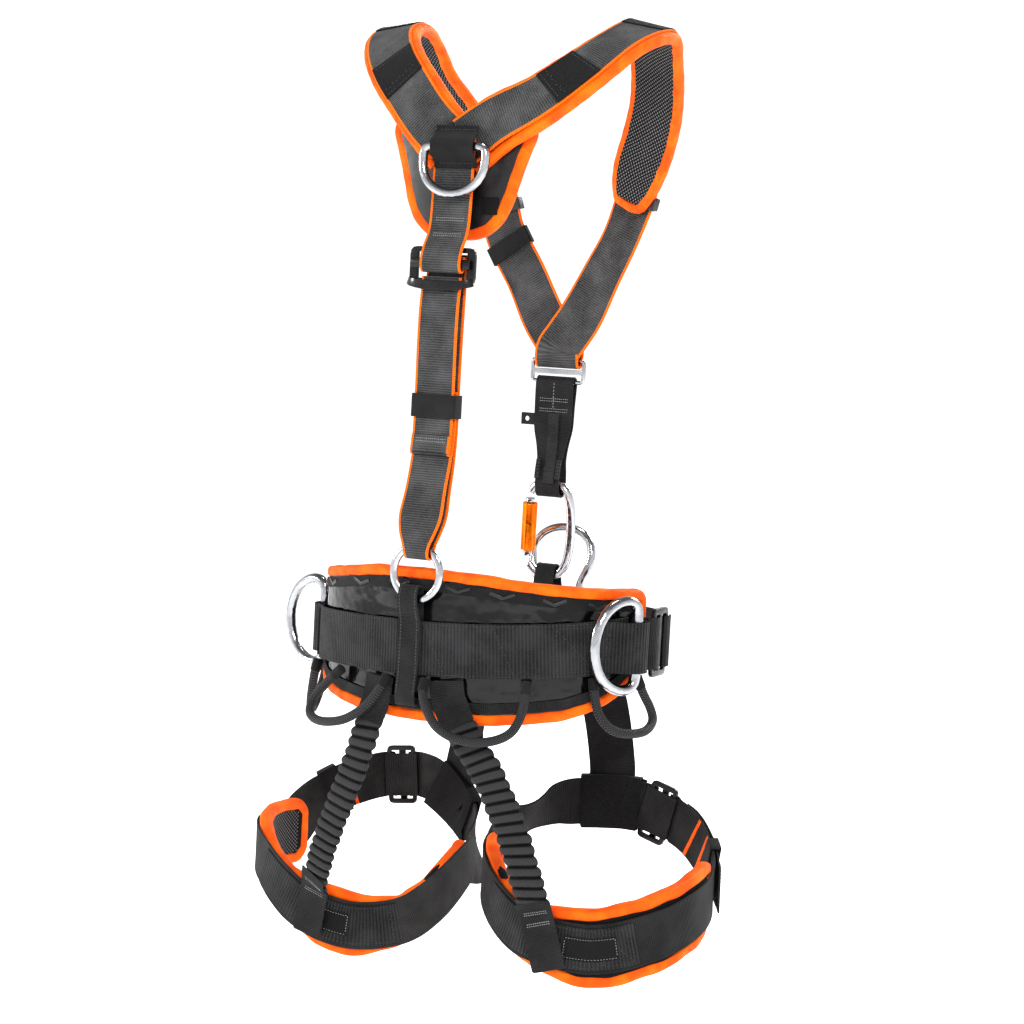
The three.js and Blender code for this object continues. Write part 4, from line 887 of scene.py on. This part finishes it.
def patch(name, strap, s0, s1, mat, width=None, thick=1.0, across=0.0):
    """Piece of cloth on a strap's top face; returns it as a strap to sew on."""
    top = Strap(strap.part(s0, s1, across, width, thick, 0.05), 2)
    sweep(name, top, mat)
    return top


def bartacks(name, strap, lines, width=0.3, lift=0.05):
    sew(name, strap, lines, "thread_pale", 1.5, 0.5, width, lift)


def upper_body():
    yoke_plate()
    for side in ("right", "left"):
        yoke_arm(side)
        strap = Strap(shoulder_rows(side))
        sweep(f"shoulder_web_{side}", strap, "webbing_grey", (f"shoulder_strap_{side}",))
        dress(f"front_adjuster_{side}", "plastic", 0.6)
        covers = ((86, 128), (196, 226)) if side == "right" else ((70, 112), (186, 216))
        for i, (s0, s1) in enumerate(covers):
            top = patch(f"shoulder_cover_{side}_{i}", strap, s0, s1, "cover", 41.6)
            lines = [across_line(top, 3), across_line(top, top.length - 3), zigzag(top, 7, 11, 9)]
            sew(f"shoulder_stitches_{side}_{i}", top, lines)
    dress("front_keeper_left", "elastic", 0.4)
    marker = [[x, y, z, 0.1, 0.99, 0, 7, 1.6, 0]
              for x, y, z in ((-46, 128.4, 338), (-34, 127.2, 319), (-30, 127.6, 311))]
    sweep("front_strap_marker", Strap(marker, 1.5), "binding")
    upper = Strap(yz_rows(BACK_UPPER, 40, WEB_T, 3))
    sweep("back_web_upper", upper, "webbing_grey", ("back_strap_upper",))
    bartacks("back_upper_bartacks", upper, [across_line(upper, s, 6) for s in (76, 78.2, 90, 92.2)])
    inner = Strap(yz_rows(BACK_INNER, 40, WEB_T, 3))
    sweep("back_web_inner", inner, "webbing_grey", ("back_strap_lower",))
    tail = Strap(yz_rows(BACK_TAIL, 39, WEB_T, 2.5))
    sweep("back_web_tail", tail, "webbing_grey", ("back_strap_tail",))
    hem = patch("back_tail_hem", tail, tail.length - 17, tail.length - 2, "webbing_grey", 38.4, 1.6)
    bartacks("back_tail_stitches", hem, [across_line(hem, s, 4) for s in (3, 5.5)])
    dress("back_adjuster_frame", "black_metal", 0.8)
    dress("back_adjuster_bar", "black_metal", 0.5)
    dress("back_strap_keeper", "elastic", 0.5)
    band = Strap(yz_rows(DORSAL_BAND, 42, 1.6, 6))
    sweep("dorsal_ring_web", band, "elastic", ("dorsal_ring_band",))
    sew("dorsal_band_stitches", band, [across_line(band, 4, 3), across_line(band, band.length - 4, 3)])
    dress("dorsal_ring", "steel", round_off=2)
    dress("dorsal_tag", "label", 0.2)
    dress("waist_ring", "steel", round_off=2)
    sling = Strap(yz_rows(RING_SLING, 19, 1.6, -2.6), 1.5)
    sweep("waist_ring_web", sling, "webbing_plain", ("waist_ring_sling",))
    lines = [[(95, 7.5 * u), (sling.length - 14, 8.5 * u)] for u in (-1, 1)]
    sew("waist_sling_edges", sling, lines, "thread_dark", 2.6, 0.3, 0.7)


# ---- chest link, carabiner and ventral parts ----

CONNECTOR = [[117, 237.2, 39], [120.4, 234, 39], [120.2, 226, 39], [118.4, 210, 39], [117.8, 190, 38],
             [118, 174, 31], [119.4, 160, 26], [121.6, 147, 25], [121.8, 136, 25], [119.4, 128.4, 25],
             [115, 126.4, 25], [110.6, 128.4, 25], [108.2, 136, 25], [108.6, 147, 25], [111, 160, 26],
             [112.6, 174, 31], [113, 190, 38], [113, 210, 39], [112.8, 226, 39], [113.6, 234, 39]]
VENTRAL_SLING = [[119.2, -20], [119.2, 8], [119.2, 34], [119.8, 46], [121.6, 53], [124, 59.4],
                 [128, 61.4], [132, 59.4], [135, 52], [138, 43], [140.8, 34], [140.6, 26], [137, 18],
                 [131.6, 10], [129.4, 0], [129.2, -20], [127.4, -25], [122.4, -25]]


def chest():
    link = Strap(yz_rows(CONNECTOR[::-1], 39, WEB_T, -0.8, True), 2, True)
    sweep("chest_link_web", link, "webbing_plain", ("chest_connector",))
    bartacks("chest_link_bartacks", link, [across_line(link, s, 4) for s in (17, 19.4, 26.5, 28.9)])
    sew("chest_link_seam", link, [[(2, 0), (26, 0)]], "thread_pale", 2.2, 0.8, 0.35)
    patch("chest_link_centre", link, 31, 96, "webbing_heather", 11, 1.2, -2)
    for name, u in (("a", -11), ("b", 10.2)):
        patch(f"chest_link_elastic_{name}", link, 74, 92, "band_ribbed", 4.6, 2.2, u)
    dress("chest_connector_tab", "webbing_plain", 0.2)
    dress("chest_ring", "steel", 0.7)
    sling = Strap(yz_rows(VENTRAL_SLING, 20, 1.8, -5.4, True), 1.5, True)
    sweep("ventral_sling_web", sling, "webbing_plain", ("ventral_sling",))
    dress("ventral_ring", "steel", round_off=2)
    dress("carabiner_body", "alloy", round_off=2)
    dress("carabiner_gate", "alloy", 0.5)
    dress("carabiner_sleeve", "anodised", 0.4)


# ---- legs ----

THIGH_Y = 12
THIGH_R = 102.3
LEG_PAD_R = 94.6
LEG = {
    "right": {
        "s": 1, "x": 122, "p0": -80, "p1": 106,
        "top": [[-80, -168], [-60, -172], [-46, -180], [-30, -196], [-15, -208], [2, -209], [25, -208],
                [46, -200], [68, -190], [89, -180], [108, -174]],
        "bottom": [[-80, -214], [-60, -222], [-46, -233], [-25, -247], [-12, -259], [2, -267], [20, -275],
                   [34, -274], [58, -263], [86, -249], [108, -236]],
        "front": [[-99, -173], [-110, -167], [-120, -160], [-131, -152.5], [-141, -150], [-171, -148.5],
                  [-197, -161], [-205, -166], [-223, -186], [-238, -198], [-254, -205]],
        "buckle": 176, "keeper": 134, "link": -158, "lean": (-92, -142, 38), "web": "webbing_plain",
        "markers": (151, 141),
    },
    "left": {
        "s": -1, "x": -118, "p0": -107, "p1": 97,
        "top": [[-116, -178], [-101, -176], [-80, -176], [-60, -180], [-46, -187], [-28, -203], [-15, -214],
                [0, -221], [13, -225], [32, -232], [50, -232], [62, -222], [86, -196], [97, -186]],
        "bottom": [[-116, -232], [-101, -236], [-80, -234], [-60, -231], [-36, -231], [-18, -248],
                   [-5, -267], [10, -281], [26, -286], [47, -278], [70, -255], [90, -232], [97, -226]],
        "front": [[115, -212], [129, -202], [141, -186.5], [174, -155], [182, -151.8], [207, -156],
                  [224, -167], [242, -183], [253, -198]],
        "buckle": -166, "keeper": -130, "link": 158, "lean": (102, 142, 30), "web": "webbing_heather",
        "markers": (-138.6,),
    },
}
RISER = {
    "right": [[32.5, -119.1, -20], [35, -119.1, -34], [40.5, -119, -46], [48.5, -118.5, -60],
              [61, -117, -78], [75, -115.5, -97], [90, -113.5, -124], [101.5, -110.5, -150],
              [111, -106, -180], [116, -101, -200], [119, -96.4, -214], [126, -94.4, -238],
              [133, -93, -262]],
    "left": [[-34, -118.4, -23], [-35.5, -118.4, -38], [-38.5, -120.4, -54], [-42, -124, -70],
             [-46.5, -125.5, -87], [-54, -125, -109], [-67, -122, -139], [-82, -116, -171],
             [-94, -108.5, -198], [-101, -101.5, -216], [-104, -97, -226], [-109, -94.8, -248],
             [-112, -94.4, -268]],
}
RISER_T = [2, 2, 3, 8, 8.6, 8.6, 8.6, 8.6, 8.6, 7, 2.4, 2, 2]


def leg_point(side, phi, r, z):
    a = math.radians(phi)
    return [LEG[side]["x"] + r * math.sin(a), THIGH_Y - r * math.cos(a), z]


def leg_normal(phi):
    a = math.radians(phi)
    return [math.sin(a), -math.cos(a), 0]


def leg_span(side, phi):
    return table(LEG[side]["top"], phi), table(LEG[side]["bottom"], phi)


def leg_track(side):
    g = LEG[side]
    pad = [[phi, sum(leg_span(side, phi)) / 2] for phi in steps(g["p0"], g["p1"], 14)]
    if side == "right":
        pad.reverse()
    return pad + g["front"]


def track_z(side, phi):
    t = leg_track(side)
    best = t[0]
    for a, b in zip(t, t[1:]):
        for turn in (-360, 0, 360):
            w = phi + turn
            if (w - a[0]) * (w - b[0]) <= 0:
                return a[1] + (b[1] - a[1]) * (w - a[0]) / (b[0] - a[0])
        if abs(b[0] - phi) < abs(best[0] - phi):
            best = b
    return best[1]


def leg_row(side, phi, r, z, w, t):
    a = math.radians(phi)
    start, end, most = LEG[side]["lean"]
    turns = [(q - start) / (end - start) for q in (phi - 360, phi, phi + 360)]
    u = next((q for q in turns if 0 < q < 1), 0)
    lean = math.radians(most) * math.sin(math.pi * u) ** 2
    return [*leg_point(side, phi, r, z), math.sin(a) * math.cos(lean), -math.cos(a) * math.cos(lean),
            math.sin(lean), w, t, 0]


def on_leg(side, phi, r, w, t=WEB_T):
    """Row of a strap that follows the leg strap's track."""
    return leg_row(side, phi, r, track_z(side, phi), w, t)


def along_leg(side, p0, p1, n, r, w, t):
    return [on_leg(side, phi, r, w, t) for phi in steps(p0, p1, n)]


def ruffles(pitch, depth, slant):
    """Rounded gathers of an elastic strap, slanting across it."""
    def shape(s, x, y):
        phase = (s + slant * x) / pitch
        lump = np.abs(np.sin(math.pi * phase)) ** 0.6
        wander = 1 + 0.1 * np.sin(s / 23.0) + 0.08 * np.sin(s / 7.3 + x / 9)
        gate = np.clip((np.max(np.abs(y), 1, keepdims=True) - 1.6) / 1.6, 0, 1)
        thin = 1 + gate * (0.12 - depth * (1 - lump) * wander)
        edge = 1 - gate * (0.17 * (1 - lump) + 0.03 * np.sin(s / 5.1))
        return x * edge, y * np.clip(thin, 0.2, 1.2)
    return shape


def leg(side):
    g = LEG[side]
    s = g["s"]
    rows = []
    for i, phi in enumerate(steps(g["p0"] + 1.4, g["p1"] - 1.4, 40)):
        zt, zb = leg_span(side, phi)
        e = min(i, 40 - i)
        pinch = (9, 3, 1)[e] if e < 3 else 0
        rows.append([*leg_point(side, phi, LEG_PAD_R, (zt + zb) / 2), *leg_normal(phi),
                     zt - zb - 4 - 2 * pinch, PAD_T, 0])
    sweep(f"leg_pad_body_{side}", Strap(rows, 2.5), "cover", (f"leg_pad_{side}",), PAD)
    lining = [r[:6] + [r[6] - 13, 0.8, -5.3] for r in rows[1:-1]]
    sweep(f"leg_pad_lining_{side}", Strap(lining, 3), "mesh")
    rim = rim_rows(lambda p: leg_span(side, p)[0], lambda p: leg_span(side, p)[1],
                   lambda p, z: leg_point(side, p, LEG_PAD_R, z), leg_normal,
                   g["p0"], g["p1"], 4.6, 11, 12.2, (6, 15))
    bound(f"leg_pad_binding_{side}", rim, 0.9, 27, True)
    b = g["buckle"]
    ends = [[4, 103.6], [4.9, 106.6], [6.2, 107.9], [8, 107], [10.4, 103.8]]
    web = [on_leg(side, b - s * p, r, 43) for p, r in ends]
    web += [on_leg(side, b - s * p, THIGH_R, 43) for p in steps(10.4, 349.6, 48)[1:-1]]
    web += [on_leg(side, b + s * p, r, 43) for p, r in reversed(ends)]
    strap = Strap(web)
    sweep(f"leg_web_{side}", strap, g["web"], (f"leg_strap_{side}",))
    half = strap.length / 2
    panel = patch(f"leg_panel_{side}", strap, half - 92, half + 62, "band_ribbed", 36, 1.2)
    lines = [box_stitch(4, 30, 15)] + [[(34, u), (panel.length - 4, u)] for u in (-16, 16)]
    lines.append(zigzag(panel, panel.length - 9, panel.length - 5, 9))
    sew(f"leg_panel_stitches_{side}", panel, lines)
    label_s = panel.length * (0.26 if side == "right" else 0.55)
    label = patch(f"leg_label_{side}", panel, label_s - 24, label_s + 24, "label", 20, 0.7)
    lines = [box_stitch(1.5, label.length - 1.5, 8.5)[:5]]
    sew(f"leg_label_stitches_{side}", label, lines, "thread_pale", 1.6, 0.9, 0.3)
    rows = [[*p, (0.1 if i > 9 else 0.2) * s, -1, 0.05, 30, RISER_T[i], 0]
            for i, p in enumerate(RISER[side])]
    rise = Strap(rows, 0.9)
    sweep(f"riser_web_{side}", rise, f"ruffle_{side}", (f"riser_{side}",), BEAD,
          ruffles(RUFFLE, 0.72, 0.2 * s))
    end = rise.length
    # flat webbing patches at the riser's top and end lie over the painted gap shade of the ruffled look
    for part, s0, s1 in (("top", 1, 42), ("end", end - 62, end - 1)):
        patch(f"riser_{part}_{side}", rise, s0, s1, "webbing_plain", 31, 0.7)
    lines = [across_line(rise, end - q, 4) for q in (40, 42, 50, 52)]
    bartacks(f"riser_bartacks_{side}", rise, lines, 0.34, 0.8)
    dress(f"leg_buckle_{side}", "black_metal", 0.8)
    dress(f"leg_buckle_bar_{side}", "black_metal", 0.6)
    dress(f"leg_keeper_{side}", "elastic", 0.4)
    bridge = Strap(along_leg(side, b - 9, b + 9, 8, THIGH_R - 1.7, 41, 1.2))
    sweep(f"leg_web_bridge_{side}", bridge, g["web"])
    tail = Strap([on_leg(side, b - s * p, THIGH_R + 3.7 + max(0, i - 8) * 1.2, 42)
                  for i, p in enumerate(steps(14, 66, 10))])
    sweep(f"leg_web_tail_{side}", tail, g["web"], (f"leg_strap_tail_{side}",))
    sew(f"leg_tail_stitches_{side}", tail, [across_line(tail, tail.length - q, 3) for q in (4, 14)])
    for i, p in enumerate((28, 38)):
        at = tail.length * p / 66
        patch(f"leg_marker_{side}_{i}", tail, at - 1.8, at + 1.8, "thread_orange", 41, 0.5)
        if i < len(g["markers"]):
            phi = g["markers"][i]
            low = along_leg(side, phi - 0.9, phi + 0.9, 4, THIGH_R - 1.3, 42.5, 0.6)
            sweep(f"leg_marker_inside_{side}_{i}", Strap(low), "thread_orange")
    c = g["link"]
    z = track_z(side, c)
    link = [belt_row(158 if s > 0 else -154, -3.8, h, 42, WEB_T) for h in (27, -12, -34)]
    foot = [leg_row(side, c, THIGH_R + 3.2, z + h, 42, WEB_T) for h in (32, 20, 14)]
    top, low = link[2], foot[0]
    for f in (0.33, 0.66):
        link.append([v + (low[i] - v) * f + (4 if i == 1 else 0) for i, v in enumerate(top)])
    link = Strap(link + foot)
    sweep(f"leg_link_web_{side}", link, "webbing_plain", (f"leg_link_{side}",))
    dress(f"leg_link_fold_{side}", "cover", 0.8)
    out = Strap(along_leg(side, c - 15, c + 15, 12, THIGH_R + 6.7, 45, 1.0))
    sweep(f"leg_fold_web_{side}", out, "band_ribbed")
    lines = [zigzag(out, out.length - 8, out.length - 3, 11), zigzag(out, 3, 8, 11)]
    sew(f"leg_fold_stitches_{side}", out, lines)


studio()
belt()
belt_side("right")
belt_side("left")
gear_loops()
upper_body()
chest()
leg("right")
leg("left")
